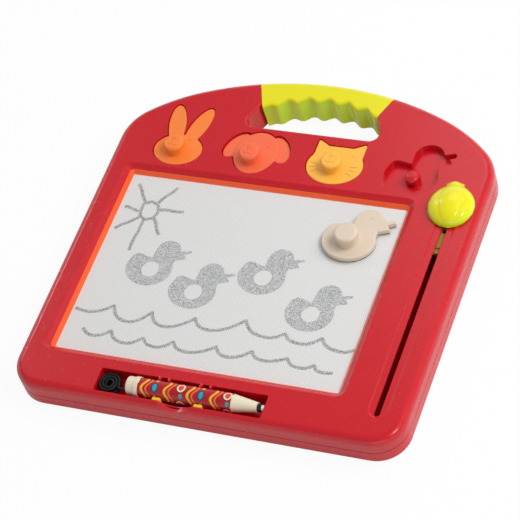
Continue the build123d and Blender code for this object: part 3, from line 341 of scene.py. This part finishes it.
def moulded(name, hexcode, side=None, roughness=0.26, haze=0.04, swell=0.1, coat=0.0):
    """Moulded plastic: a colour, a second one painted on upright sides as shade, a haze, a slow swell and a
    coat.
    """
    material, tree, shader = new_material(name)
    coordinates = add(tree, "ShaderNodeTexCoord")
    place = coordinates.outputs["Object"]
    drift = add(tree, "ShaderNodeTexNoise", {"Vector": place, "Scale": 1 / SWELL_SIZE, "Detail": 2.0})
    base = colour(hexcode)
    deeper = tuple(value * DEEPER_SHARE for value in base[:3]) + (1.0,)
    tint = add(tree, "ShaderNodeMix", {
        "Factor": drift.outputs["Fac"], "A": deeper, "B": base,
    }, data_type="RGBA")
    painted = tint.outputs["Result"]
    # The side colour is painted shade: surfaces that face sideways get it, and tops keep the plain colour.
    if side:
        facing = add(tree, "ShaderNodeSeparateXYZ", {"Vector": coordinates.outputs["Normal"]})
        lift = add(tree, "ShaderNodeMapRange", {
            "Value": facing.outputs["Z"], "From Min": SHADED_SIDE_BELOW, "From Max": UNSHADED_TOP_ABOVE,
        }, interpolation_type="SMOOTHSTEP")
        blend = add(tree, "ShaderNodeMix", {
            "Factor": lift.outputs[0], "A": colour(side), "B": painted,
        }, data_type="RGBA")
        painted = blend.outputs["Result"]
    tree.links.new(painted, shader.inputs["Base Color"])
    scuff = add(tree, "ShaderNodeTexNoise", {"Vector": place, "Scale": 1 / HAZE_SIZE, "Detail": 4.0})
    gloss = add(tree, "ShaderNodeMapRange", {
        "Value": scuff.outputs["Fac"], "From Min": NOISE_LOW, "From Max": NOISE_HIGH,
        "To Min": roughness - haze / 2, "To Max": roughness + haze / 2,
    })
    tree.links.new(gloss.outputs[0], shader.inputs["Roughness"])
    wave = add(tree, "ShaderNodeTexNoise", {"Vector": place, "Scale": 1 / SWELL_SIZE, "Detail": 1.0})
    bump = add(tree, "ShaderNodeBump", {
        "Height": wave.outputs["Fac"], "Strength": swell, "Distance": SWELL_BUMP,
    })
    tree.links.new(bump.outputs[0], shader.inputs["Normal"])
    shader.inputs["IOR"].default_value = ABS_IOR
    shader.inputs["Coat Weight"].default_value = coat
    shader.inputs["Coat Roughness"].default_value = COAT_ROUGHNESS
    return material


red_abs = moulded("red ABS, moulded glossy", "#CC0B1D", coat=0.1)
bezel_abs = moulded("orange ABS, satin", "#FF5E24", roughness=0.34)
clip_abs = moulded("yellow ABS, glossy", "#F2C230")
white_abs = moulded("white ABS, plain", "#E0E0DC", roughness=0.45)
cream_abs = moulded("cream ABS, satin", "#EBDFC6", roughness=0.36)
black_abs = moulded("black ABS, glossy", "#161616")

for node in ("front_shell", "back_shell"):
    dress(node, red_abs)
dress("screen_bezel", bezel_abs)
dress("pen_clips", clip_abs)
for node in ("eraser_bar", "stylus_nib"):
    dress(node, white_abs)
for node in ("stylus_cap", "stylus_cone"):
    dress(node, cream_abs)
for node in ("stylus_collar", "tether_anchor"):
    dress(node, black_abs)

# %% [markdown]
# Lime plastic takes two colours here, blended by how far the surface faces up: yellow on top and green
# on its upright sides. The green on the sides is painted shade. The plastic also gives off a little
# painted glow of its own, which lifts its shaded walls. Its coat mirrors for it, so the gloss below the
# coat is turned down and the colour stays full. The carriage inside the case is brown, and that brown is
# painted shade and red light from the slot it lies in.

# %% The lime plastic
LIME_PAINTED_GLOW = 0.05
LIME_SPECULAR = 0.2

# The side colour here is painted shade on the lime's upright walls.
lime_abs = moulded("lime ABS, painted shade and glow", "#E8DE14", side="#C2EC12", roughness=0.3, coat=0.6)
lime_shader = lime_abs.node_tree.nodes["Principled BSDF"]
# The emission is a painted glow, which lifts the lime's shaded walls.
lime_shader.inputs["Emission Color"].default_value = colour("#C2E61A")
lime_shader.inputs["Emission Strength"].default_value = LIME_PAINTED_GLOW
lime_shader.inputs["Specular IOR Level"].default_value = LIME_SPECULAR
for node in ("grip_front", "grip_back"):
    dress(node, lime_abs)
# The carriage's brown is painted shade and red light from the slot's walls.
dress("eraser_carriage", moulded("carriage ABS, painted brown shade", "#A07A2A", roughness=0.4))

# %% The stamps' plastics
STAMP_COLOURS = {"rabbit": "#FE8736", "dog": "#FA7048", "cat": "#FFBD47", "duck": "#E0CFBA"}
stamp_abs = {}
for animal, hexcode in STAMP_COLOURS.items():
    stamp_abs[animal] = moulded(f"{animal} stamp ABS, satin", hexcode, roughness=0.34)
    dress(f"{animal}_stamp", stamp_abs[animal])

# %% [markdown]
# Behind the stamps and along the eraser bar lies flexible magnet: ferrite powder in rubber, dull and nearly
# black. The screws are zinc-plated steel. Neither shows in the photograph, but both show when a stamp is
# lifted or the board is turned over.

# %% Magnets and screws
RUBBER_GRAINS_PER_METRE = 900.0
RUBBER_ROUGHNESS = 0.7
ZINC_GRAINS_PER_METRE = 2500.0
ZINC_SMOOTH, ZINC_DULL = 0.25, 0.5

magnet_rubber, tree, shader = new_material("ferrite rubber, calendered")
place = add(tree, "ShaderNodeTexCoord").outputs["Object"]
grain = add(tree, "ShaderNodeTexNoise", {"Vector": place, "Scale": RUBBER_GRAINS_PER_METRE, "Detail": 2.0})
tint = add(tree, "ShaderNodeMix", {
    "Factor": grain.outputs["Fac"], "A": colour("#2A2A2A"), "B": colour("#3C3A38"),
}, data_type="RGBA")
tree.links.new(tint.outputs["Result"], shader.inputs["Base Color"])
shader.inputs["Roughness"].default_value = RUBBER_ROUGHNESS
for node in ("eraser_magnet_strip", "rabbit_magnet", "dog_magnet", "cat_magnet", "duck_magnet"):
    dress(node, magnet_rubber)

zinc, tree, shader = new_material("steel, zinc plated")
place = add(tree, "ShaderNodeTexCoord").outputs["Object"]
grain = add(tree, "ShaderNodeTexNoise", {"Vector": place, "Scale": ZINC_GRAINS_PER_METRE, "Detail": 2.0})
gloss = add(tree, "ShaderNodeMapRange", {
    "Value": grain.outputs["Fac"], "To Min": ZINC_SMOOTH, "To Max": ZINC_DULL,
})
tree.links.new(gloss.outputs[0], shader.inputs["Roughness"])
shader.inputs["Base Color"].default_value = colour("#C9CCD0")
shader.inputs["Metallic"].default_value = 1.0
for node in ("case_screws", "grip_screws", "knob_screw", "stylus_magnet"):
    dress(node, zinc)

# %% [markdown]
# The screen is a sandwich: two thin films with a honeycomb of cells between them, each full of milky liquid
# and iron powder. From above it is a pale grey film with the cell walls showing through as a fine slanted
# net. A brick pattern with a half-brick offset makes that net, with cells 1.9 mm wide. A magnet pulls grey
# powder up to the film, so a mark is powder under film, not ink on it: it shows as specks. The attribute
# "powder" says how much of it has been raised at a point, and the noise turns that into specks of
# about a millimetre.

# %% The screen
CELL_WIDTH = 1.9 * MM
CELL_TURN = radians(28)
CELL_WALL = 0.32 * MM
ROW_SHARE = 0.85
SPECK_SIZE = 1.0 * MM
FEWEST_SPECKS, MOST_SPECKS = 0.36, 0.64
COVER_FROM, COVER_TO = -0.4, 0.5
FILM_ROUGHNESS = 0.42
FILM_IOR = 1.5


def cell_net(tree, place):
    """The honeycomb's value: white in the middle of a cell and darker on its walls."""
    turned = add(tree, "ShaderNodeMapping", {"Vector": place, "Rotation": (0, 0, CELL_TURN)})
    bricks = add(tree, "ShaderNodeTexBrick", {
        "Vector": turned.outputs[0], "Scale": 1.0, "Color1": (1, 1, 1, 1), "Color2": (0.9, 0.9, 0.9, 1),
        "Mortar": (0, 0, 0, 1), "Mortar Size": CELL_WALL, "Mortar Smooth": 0.5,
        "Brick Width": CELL_WIDTH, "Row Height": ROW_SHARE * CELL_WIDTH,
    })
    return bricks.outputs["Color"]


def screen_film(name, marked):
    """Pale film over the cells, and on a mark the powder's specks too."""
    material, tree, shader = new_material(name)
    place = add(tree, "ShaderNodeTexCoord").outputs["Object"]
    cloud = add(tree, "ShaderNodeTexNoise", {"Vector": place, "Scale": 0.5 / SPECK_SIZE, "Detail": 2.0})
    tone = add(tree, "ShaderNodeMix", {
        "Factor": cloud.outputs["Fac"], "A": colour("#E9E8E6"), "B": colour("#F2F1EF"),
    }, data_type="RGBA")
    walls = add(tree, "ShaderNodeMix", {
        "Factor": cell_net(tree, place), "A": colour("#CACCCC"), "B": tone.outputs["Result"],
    }, data_type="RGBA")
    painted = walls.outputs["Result"]
    if marked:
        amount = add(tree, "ShaderNodeAttribute", attribute_name="powder").outputs["Fac"]
        specks = add(tree, "ShaderNodeTexNoise", {
            "Vector": place, "Scale": 1 / SPECK_SIZE, "Detail": 3.0, "Roughness": 0.7,
        })
        level = add(tree, "ShaderNodeMapRange", {
            "Value": specks.outputs["Fac"], "From Min": FEWEST_SPECKS, "From Max": MOST_SPECKS,
        })
        over = add(tree, "ShaderNodeMath", {0: amount, 1: level.outputs[0]}, operation="SUBTRACT")
        cover = add(tree, "ShaderNodeMapRange", {
            "Value": over.outputs[0], "From Min": COVER_FROM, "From Max": COVER_TO,
        })
        powder = add(tree, "ShaderNodeMix", {
            "Factor": cover.outputs[0], "A": painted, "B": colour("#7C7F81"),
        }, data_type="RGBA")
        painted = powder.outputs["Result"]
    tree.links.new(painted, shader.inputs["Base Color"])
    shader.inputs["Roughness"].default_value = FILM_ROUGHNESS
    shader.inputs["IOR"].default_value = FILM_IOR
    return material


film = screen_film("polyester film over cells", marked=False)
marked_film = screen_film("film over raised iron powder", marked=True)
for node in ("screen_front_film", "screen_cell_sheet", "screen_back_film"):
    dress(node, film)

# %% [markdown]
# The marks are thin shapes that lie on the film. A stroke starts as a smooth curve with a round profile,
# which is turned into a mesh. Before it is pressed flat, each point's height in the round profile is kept
# as its share of powder: most along the middle and none at the rims, so the rims break up into specks.

# %% Strokes on the screen
SCREEN_Z = box_of("screen_front_film")[1].z
STROKE_WIDTH = 3.3 * MM
STROKE_POWDER = 0.8
MARK_HEIGHT = 0.06 * MM
MERGE_DISTANCE = 1e-6


def new_piece(name, bm, material, body):
    """A finished mesh object that rides on a body."""
    mesh = bpy.data.meshes.new(name)
    bm.to_mesh(mesh)
    bm.free()
    mesh.materials.append(material)
    made = bpy.data.objects.new(name, mesh)
    bpy.context.collection.objects.link(made)
    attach(made, body)
    return made


def round_line(points, radius, cyclic=False):
    """A smooth round line through points given in metres, as a bmesh."""
    data = bpy.data.curves.new("line", "CURVE")
    data.dimensions = "3D"
    data.bevel_depth = radius
    data.bevel_resolution = 2
    data.resolution_u = 5
    data.use_fill_caps = True
    spline = data.splines.new("NURBS")
    spline.points.add(len(points) - 1)
    for target, point in zip(spline.points, points):
        target.co = (*point, 1.0)
    spline.order_u = 3
    spline.use_endpoint_u = not cyclic
    spline.use_cyclic_u = cyclic
    holder = bpy.data.objects.new("line", data)
    bpy.context.collection.objects.link(holder)
    bpy.context.view_layer.update()
    mesh = bpy.data.meshes.new_from_object(holder.evaluated_get(bpy.context.evaluated_depsgraph_get()))
    bm = bmesh.new()
    bm.from_mesh(mesh)
    bpy.data.objects.remove(holder)
    bpy.data.curves.remove(data)
    bpy.data.meshes.remove(mesh)
    bmesh.ops.remove_doubles(bm, verts=bm.verts, dist=MERGE_DISTANCE)
    return bm


def stroke(name, points, cyclic=False, width=STROKE_WIDTH, rise=0.0):
    """A drawn line: powder along a path given in millimetres, which a print's detail lifts over it."""
    path = [Vector((x * MM, y * MM, SCREEN_Z)) for x, y in points]
    bm = round_line(path, width / 2, cyclic)
    powder = bm.verts.layers.float.new("powder")
    for vert in bm.verts:
        vert[powder] = STROKE_POWDER * max(0.0, (vert.co.z - SCREEN_Z) / (width / 2))
    middle = Matrix.Translation((0, 0, -SCREEN_Z))
    bmesh.ops.scale(bm, vec=(1, 1, 2 * MARK_HEIGHT / width), space=middle, verts=bm.verts)
    bmesh.ops.translate(bm, vec=(0, 0, rise), verts=bm.verts)
    return new_piece(name, bm, marked_film, "board")


# %% The sun
SUN_RING = (
    (-127.5, 17.2), (-127.6, 25.4), (-121.0, 29.0), (-114.0, 26.6), (-111.0, 18.7), (-113.3, 11.6),
    (-120.4, 8.6), (-126.2, 12.4),
)
SUN_RAYS = (
    ((-126.6, 27.6), (-140.3, 46.1)), ((-114.6, 28.5), (-102.8, 47.4)), ((-111.3, 21.0), (-87.5, 22.6)),
    ((-112.6, 11.7), (-101.1, -5.4)), ((-121.4, 9.2), (-122.3, -25.6)), ((-126.8, 10.6), (-144.4, -4.7)),
    ((-127.5, 17.0), (-144.4, 20.2)),
)
RAY_WOBBLE = 0.9
stroke("sun_ring", [corner for corner in SUN_RING for copy in range(2)], cyclic=True)
for number, (start, end) in enumerate(SUN_RAYS):
    start, end = Vector(start), Vector(end)
    side = Vector((start.y - end.y, end.x - start.x)).normalized()
    bend, other_bend = start.lerp(end, 0.35), start.lerp(end, 0.7)
    points = [start, bend + side * RAY_WOBBLE, other_bend - side * RAY_WOBBLE, end]
    stroke(f"sun_ray_{number + 1}", points)

# %% [markdown]
# A child draws waves as hanging arcs that meet in points. Each row is a list of its crests and troughs in
# turn. From a crest the line drops steeply into the trough, and it rises slowly to the next crest.
# Doubling a crest's point keeps it sharp.

# %% The waves
UPPER_WAVE = ((-147, -92.6), (-131, -94.8), (-113.1, -84.5), (-93, -99.6), (-76.5, -85.4), (-58.5, -98.6),
              (-36.4, -84.8), (-16.5, -95), (8.7, -78.8), (33.5, -93), (46.6, -85.8), (65.5, -94),
              (79.6, -84.8), (101, -95.4), (110.5, -91))
LOWER_WAVE = ((-132, -111.4), (-118.5, -118), (-105.8, -109.9), (-88, -120.8), (-74.6, -112), (-59, -119.6),
              (-46.9, -111.2), (-29, -119.6), (-7.8, -109.2), (7.5, -118), (24.6, -108), (39, -115.6),
              (56.7, -109.4), (72, -117), (81.6, -111.8), (91, -117.6), (99.6, -116.1))


def wave(name, line):
    """A line of hanging arcs through crests and troughs in turn."""
    points = [line[0]]
    for start, trough, end in zip(line[0::2], line[1::2], line[2::2]):
        start, trough, end = Vector(start), Vector(trough), Vector(end)
        points.append((start.x + 0.3 * (trough.x - start.x), start.y + 0.78 * (trough.y - start.y)))
        points.append(tuple(trough))
        points.append((trough.x + 0.6 * (end.x - trough.x), trough.y + 0.42 * (end.y - trough.y)))
        points.append(tuple(end))
        points.append(tuple(end))
    return stroke(name, points)


wave("upper_wave", UPPER_WAVE)
wave("lower_wave", LOWER_WAVE)

# %% [markdown]
# The four ducks are prints of the duck stamp: its magnet sheet touched the screen and pulled the powder up
# in its own outline, with a blank where the sheet has its round hole. So the print is a copy of that
# sheet's upper face, laid flat. A CAD mesh is loose triangles, so the copy is merged first. The rim of the
# stamp's eye pulls a little more powder than flat rubber does, so a small ring is drawn over each print.

# %% The duck prints
PRINT_SHARE = 0.93
PRINT_POWDER = 0.52
EYE_FROM_HOLE = (11.1, 22.6)
EYE_RADIUS = 1.9
EYE_LINE = 1.6 * MM
EYE_POINTS = 8
FACING_UP = 0.9
DUCK_KNOB = millimetres(73.0, 13.05, 0)
PRINT_HOLES = ((-95.4, -42.0), (-48.2, -58.7), (7.9, -34.0), (61.7, -63.2))


def duck_print(name, x, y):
    """A flat copy of the duck's magnet sheet, with its hole at a place on the screen."""
    bm = bmesh.new()
    bm.from_mesh(nodes["duck_magnet"].data)
    bmesh.ops.remove_doubles(bm, verts=bm.verts, dist=MERGE_DISTANCE)
    bm.normal_update()
    others = [face for face in bm.faces if face.normal.z < FACING_UP]
    bmesh.ops.delete(bm, geom=others, context="FACES")
    bmesh.ops.dissolve_limit(bm, angle_limit=radians(1), verts=bm.verts, edges=bm.edges)
    height = sum(vert.co.z for vert in bm.verts) / len(bm.verts)
    bmesh.ops.translate(bm, vec=-DUCK_KNOB - Vector((0, 0, height)), verts=bm.verts)
    bmesh.ops.scale(bm, vec=(PRINT_SHARE, PRINT_SHARE, 1), verts=bm.verts)
    bmesh.ops.translate(bm, vec=(x * MM, y * MM, SCREEN_Z + MARK_HEIGHT), verts=bm.verts)
    powder = bm.verts.layers.float.new("powder")
    for vert in bm.verts:
        vert[powder] = PRINT_POWDER
    return new_piece(name, bm, marked_film, "board")


for number, (x, y) in enumerate(PRINT_HOLES):
    duck_print(f"duck_print_{number + 1}", x, y)
    eye_x, eye_y = x + EYE_FROM_HOLE[0], y + EYE_FROM_HOLE[1]
    turns = [2 * pi * step / EYE_POINTS for step in range(EYE_POINTS)]
    eye = [(eye_x + EYE_RADIUS * cos(turn), eye_y + EYE_RADIUS * sin(turn)) for turn in turns]
    stroke(f"duck_print_eye_{number + 1}", eye, cyclic=True, width=EYE_LINE, rise=MARK_HEIGHT)

# %% [markdown]
# The eraser's knob is made like a fruit with soft lobes and a small crown. Half of its outline, from its
# round end to the crown, is spun about the slot's direction, and each point is then drawn in near the
# creases between the lobes. A cut keeps the upper half, which sits a little turned, and a blade below it
# runs in the slot.

# %% The eraser's knob
knob_low, knob_high = box_of("eraser_knob")
KNOB_X = (knob_low.x + knob_high.x) / 2 / MM
KNOB_RADIUS = (knob_high.x - knob_low.x) / 2 / MM
KNOB_Y = knob_low.y / MM + KNOB_RADIUS
KNOB_BASE = 29.4
KNOB_HEIGHT = knob_high.z / MM - KNOB_BASE
KNOB_OUTLINE = (
    (0, -1.0), (0.14, -0.99), (0.38, -0.925), (0.62, -0.785), (0.82, -0.57), (0.95, -0.31), (1.0, 0),
    (0.965, 0.27), (0.865, 0.51), (0.72, 0.71), (0.57, 0.86), (0.46, 0.95), (0.40, 1.02),
    (0.375, 1.09), (0.37, 1.17), (0.25, 1.16), (0, 1.13),
)
KNOB_STEPS = 96
LOBES = 6
LOBE_DEPTH = 0.065
CREASE_SHARPNESS = 0.6
LOBES_FADE_FROM, LOBES_FADE_OVER = 0.55, 0.5
CROWN_FROM = 1.05
CROWN_POINTS = 4
CROWN_CORE = 3
FLAT_FACE = 0.999
BLADE_OVERLAP = 0.01
FRUIT_TURN = radians(8)
CROWN_DIP = 1.0
BLADE = Vector((4.4, 24.0, KNOB_BASE - knob_low.z / MM))

bm = bmesh.new()
rim = [bm.verts.new((share * KNOB_RADIUS, along * KNOB_RADIUS, 0)) for share, along in KNOB_OUTLINE]
edges = [bm.edges.new(pair) for pair in zip(rim, rim[1:])]
bmesh.ops.spin(
    bm, geom=rim + edges, cent=(0, 0, 0), axis=(0, 1, 0), angle=2 * pi, steps=KNOB_STEPS, use_merge=True,
)
bmesh.ops.remove_doubles(bm, verts=bm.verts, dist=0.001)
for vert in bm.verts:
    turn = Vector((vert.co.z, vert.co.x)).angle_signed(Vector((1, 0)), 0.0)
    swing = abs(cos(LOBES * turn / 2)) ** CREASE_SHARPNESS
    along = vert.co.y / KNOB_RADIUS
    fade = max(0.0, 1 - max(0.0, along - LOBES_FADE_FROM) / LOBES_FADE_OVER)
    draw_in = 1 - LOBE_DEPTH * (1 - swing) * fade
    vert.co.x *= draw_in
    vert.co.z *= draw_in
    if along > CROWN_FROM:
        notch = 0.5 - 0.5 * cos(CROWN_POINTS * turn)
        vert.co.y -= CROWN_DIP * notch * min(1.0, abs(vert.co.x) / CROWN_CORE)
bmesh.ops.scale(bm, vec=(1, 1, KNOB_HEIGHT / KNOB_RADIUS), verts=bm.verts)
bmesh.ops.bisect_plane(
    bm, geom=bm.verts[:] + bm.edges[:] + bm.faces[:], plane_co=(0, 0, 0), plane_no=(0, 0, 1),
    clear_inner=True,
)
bmesh.ops.holes_fill(bm, edges=[edge for edge in bm.edges if edge.is_boundary])
bmesh.ops.rotate(bm, cent=(0, 0, 0), matrix=Matrix.Rotation(FRUIT_TURN, 3, "Z"), verts=bm.verts)
made = bmesh.ops.create_cube(bm, size=1.0)
bmesh.ops.scale(bm, vec=BLADE, verts=made["verts"])
bmesh.ops.translate(bm, vec=(0, 0, BLADE_OVERLAP - BLADE.z / 2), verts=made["verts"])
bmesh.ops.translate(bm, vec=(KNOB_X, KNOB_Y, KNOB_BASE), verts=bm.verts)
bmesh.ops.scale(bm, vec=(MM, MM, MM), verts=bm.verts)
bmesh.ops.recalc_face_normals(bm, faces=bm.faces)
for face in bm.faces:
    face.smooth = abs(face.normal.z) < FLAT_FACE
knob = new_piece("eraser_fruit_knob", bm, lime_abs, "eraser")
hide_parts("eraser_knob")
print("eraser knob", len(knob.data.polygons), "faces")

# %% [markdown]
# The knobs of the rabbit, the dog and the cat carry a small face on their caps: a nose and a smile, moulded
# proud by a little over half a millimetre. They are plain rounded lines, half sunk in the cap, in the
# stamp's own plastic. The cat has whiskers engraved beside its knob. They are drawn here as thin lines in
# a darker orange, which is painted shade for the grooves.

# %% Noses, smiles and whiskers
STAMP_KNOBS = {"rabbit": (-117.0, 85.3), "dog": (-43.9, 85.9), "cat": (33.0, 87.5)}
CAP_TOP = {animal: box_of(f"{animal}_stamp")[1].z for animal in STAMP_KNOBS}
DETAIL_RADIUS = 0.75 * MM
DETAIL_SUNK = 0.1 * MM


def on_cap(animal, points):
    """Points given about a stamp knob's middle, on the top of its cap."""
    x, y = STAMP_KNOBS[animal]
    return [Vector(((x + dx) * MM, (y + dy) * MM, CAP_TOP[animal] - DETAIL_SUNK)) for dx, dy in points]


for animal in STAMP_KNOBS:
    nose = on_cap(animal, ((-2.2, 3.9), (0, 4.5), (2.2, 3.9), (0, 1.4)))
    smile = on_cap(animal, (
        (-4.2, -0.9), (-3.2, -3.1), (-1.0, -3.3), (0, -0.9), (0, -0.9), (1.0, -3.3), (3.2, -3.1), (4.2, -0.9),
    ))
    bridge = on_cap(animal, ((0, 1.8), (0, 0.6), (0, -0.6)))
    for part, line in (("nose", nose), ("smile", smile), ("bridge", bridge)):
        bm = round_line(line, DETAIL_RADIUS, cyclic=part == "nose")
        new_piece(f"{animal}_{part}", bm, stamp_abs[animal], animal)

WHISKERS = (
    ((11.4, 89.6), (18.2, 88.8)), ((11.6, 84.4), (18.4, 85.4)), ((14.4, 79.6), (20.4, 82.2)),
    ((48.6, 88.8), (55.2, 89.6)), ((48.4, 85.4), (55.0, 84.4)), ((46.4, 82.2), (52.2, 79.4)),
)
WHISKER_BOW = 0.3
WHISKER_RADIUS = 0.3 * MM
WHISKER_FLATNESS = 0.3
CAP_ABOVE_PLATE = 10.5 * MM
PLATE_TOP = CAP_TOP["cat"] - CAP_ABOVE_PLATE
# The whiskers' darker orange is painted shade standing for the shadow in engraved grooves.
whisker_groove_shade = moulded("cat stamp ABS, painted groove shade", "#D98A24", roughness=0.5)
for number, (start, end) in enumerate(WHISKERS):
    middle = ((start[0] + end[0]) / 2, (start[1] + end[1]) / 2 + WHISKER_BOW)
    path = [Vector((x * MM, y * MM, PLATE_TOP)) for x, y in (start, middle, end)]
    bm = round_line(path, WHISKER_RADIUS)
    pressed = Matrix.Translation((0, 0, -PLATE_TOP))
    bmesh.ops.scale(bm, vec=(1, 1, WHISKER_FLATNESS), space=pressed, verts=bm.verts)
    new_piece(f"cat_whisker_{number + 1}", bm, whisker_groove_shade, "cat")

# %% [markdown]
# The pen's tube carries a printed film. The print here is a plain repeat of wavy bands, ovals and dots in
# the colours that such a toy uses. It is worked out on the tube's own unrolled surface: one coordinate
# runs along the tube, and the other is the angle around it times its radius. Both are wrapped into one
# repeat, so a motif is drawn once and comes back all over the tube.

# %% The pen's unrolled surface
barrel_low, barrel_high = box_of("stylus_barrel")
PEN_RADIUS = (barrel_high.z - barrel_low.z) / 2
PEN_MIDDLE = (barrel_low + barrel_high) / 2
REPEAT_ALONG = 42.0 * MM
REPEATS_AROUND = 3
REPEAT_AROUND = 2 * pi * PEN_RADIUS / REPEATS_AROUND

pen_print, tree, shader = new_material("printed film on the pen's tube")
place = add(tree, "ShaderNodeTexCoord").outputs["Object"]
centred = add(tree, "ShaderNodeMapping", {"Vector": place, "Location": -PEN_MIDDLE})
parts = add(tree, "ShaderNodeSeparateXYZ", {"Vector": centred.outputs[0]})
turned = add(tree, "ShaderNodeMath", {0: parts.outputs["Y"], 1: parts.outputs["Z"]}, operation="ARCTAN2")
around = add(tree, "ShaderNodeMath", {0: turned.outputs[0], 1: PEN_RADIUS}, operation="MULTIPLY")
along = add(tree, "ShaderNodeMath", {
    0: parts.outputs["X"], 1: REPEAT_ALONG / 2, 2: -REPEAT_ALONG / 2,
}, operation="WRAP")
row = add(tree, "ShaderNodeMath", {
    0: around.outputs[0], 1: REPEAT_AROUND / 2, 2: -REPEAT_AROUND / 2,
}, operation="WRAP")
unrolled = add(tree, "ShaderNodeCombineXYZ", {"X": along.outputs[0], "Y": row.outputs[0]}).outputs[0]
threefold = add(tree, "ShaderNodeMath", {
    0: turned.outputs[0], 1: REPEATS_AROUND,
}, operation="MULTIPLY")
swing = add(tree, "ShaderNodeMath", {0: threefold.outputs[0]}, operation="SINE")

# %% The pen's print
BAND_RIPPLE = 2.0
PRINT_ROUGHNESS = 0.28
PRINT_IOR = 1.5
BANDS = ((-15.6, 1.2, "#F9B233"), (-11.8, 0.9, "#F26A2C"), (5.4, 1.2, "#F9B233"), (9.4, 0.9, "#F26A2C"))
OVALS = (
    (-3.4, 1.6, 4.8, 5.4, "#7A1A1E"), (-3.4, 1.6, 3.8, 4.4, "#F7DDB0"), (-3.4, 1.6, 2.4, 3.0, "#E0453F"),
    (15.4, -2.4, 3.0, 4.6, "#223A66"), (15.4, -2.4, 2.0, 3.4, "#2AA7B5"),
    (-2.6, -6.2, 1.6, 2.0, "#2AA7B5"), (15.6, 5.6, 1.5, 1.9, "#F9B233"),
)


def print_band(under, shift, half_width, hexcode):
    """A wavy band round the tube, printed over what is there."""
    wavy = add(tree, "ShaderNodeMath", {
        0: swing.outputs[0], 1: -BAND_RIPPLE * MM, 2: along.outputs[0],
    }, operation="MULTIPLY_ADD")
    near = add(tree, "ShaderNodeMath", {
        0: wavy.outputs[0], 1: shift * MM, 2: half_width * MM,
    }, operation="COMPARE")
    laid = add(tree, "ShaderNodeMix", {
        "Factor": near.outputs[0], "A": under, "B": colour(hexcode),
    }, data_type="RGBA")
    return laid.outputs["Result"]


def print_oval(under, x, y, half_x, half_y, hexcode):
    """An oval at a place in the repeat, printed over what is there."""
    local = add(tree, "ShaderNodeMapping", {
        "Vector": unrolled, "Location": (-x / half_x, -y / half_y, 0),
        "Scale": (1 / (half_x * MM), 1 / (half_y * MM), 0),
    })
    reach = add(tree, "ShaderNodeVectorMath", {0: local.outputs[0]}, operation="LENGTH")
    inside = add(tree, "ShaderNodeMath", {0: reach.outputs["Value"], 1: 1.0}, operation="LESS_THAN")
    laid = add(tree, "ShaderNodeMix", {
        "Factor": inside.outputs[0], "A": under, "B": colour(hexcode),
    }, data_type="RGBA")
    return laid.outputs["Result"]


paint = colour("#B01420")
for shift, half_width, hexcode in BANDS:
    paint = print_band(paint, shift, half_width, hexcode)
for x, y, half_x, half_y, hexcode in OVALS:
    paint = print_oval(paint, x, y, half_x, half_y, hexcode)
tree.links.new(paint, shader.inputs["Base Color"])
shader.inputs["Roughness"].default_value = PRINT_ROUGHNESS
shader.inputs["IOR"].default_value = PRINT_IOR
dress("stylus_barrel", pen_print)

# %% [markdown]
# The tether is braided from black polyester yarn. The curve gives its own UV map, with U along the cord
# and V around it, so a brick pattern in UV makes crossing strands that follow every turn of the coil.

# %% The tether's braid
STRAND_ALONG = 0.003
STRAND_AROUND = 0.25
STRAND_GAP = 0.02
CORD_ROUGHNESS = 0.55

braid, tree, shader = new_material("polyester cord, braided, black")
place = add(tree, "ShaderNodeTexCoord").outputs["UV"]
# A strand is about 1.2 mm long, and four lie around the cord.
weave = add(tree, "ShaderNodeTexBrick", {
    "Vector": place, "Scale": 1.0,
    "Color1": (1, 1, 1, 1), "Color2": (0.6, 0.6, 0.6, 1), "Mortar": (0, 0, 0, 1),
    "Mortar Size": STRAND_GAP, "Mortar Smooth": 1.0,
    "Brick Width": STRAND_ALONG, "Row Height": STRAND_AROUND,
})
tint = add(tree, "ShaderNodeMix", {
    "Factor": weave.outputs["Color"], "A": colour("#0B0B0B"), "B": colour("#262626"),
}, data_type="RGBA")
tree.links.new(tint.outputs["Result"], shader.inputs["Base Color"])
shader.inputs["Roughness"].default_value = CORD_ROUGHNESS
curve.materials.append(braid)
for node in ("tether_coil", "tether_lead_board", "tether_lead_pen"):
    dress(node, braid)
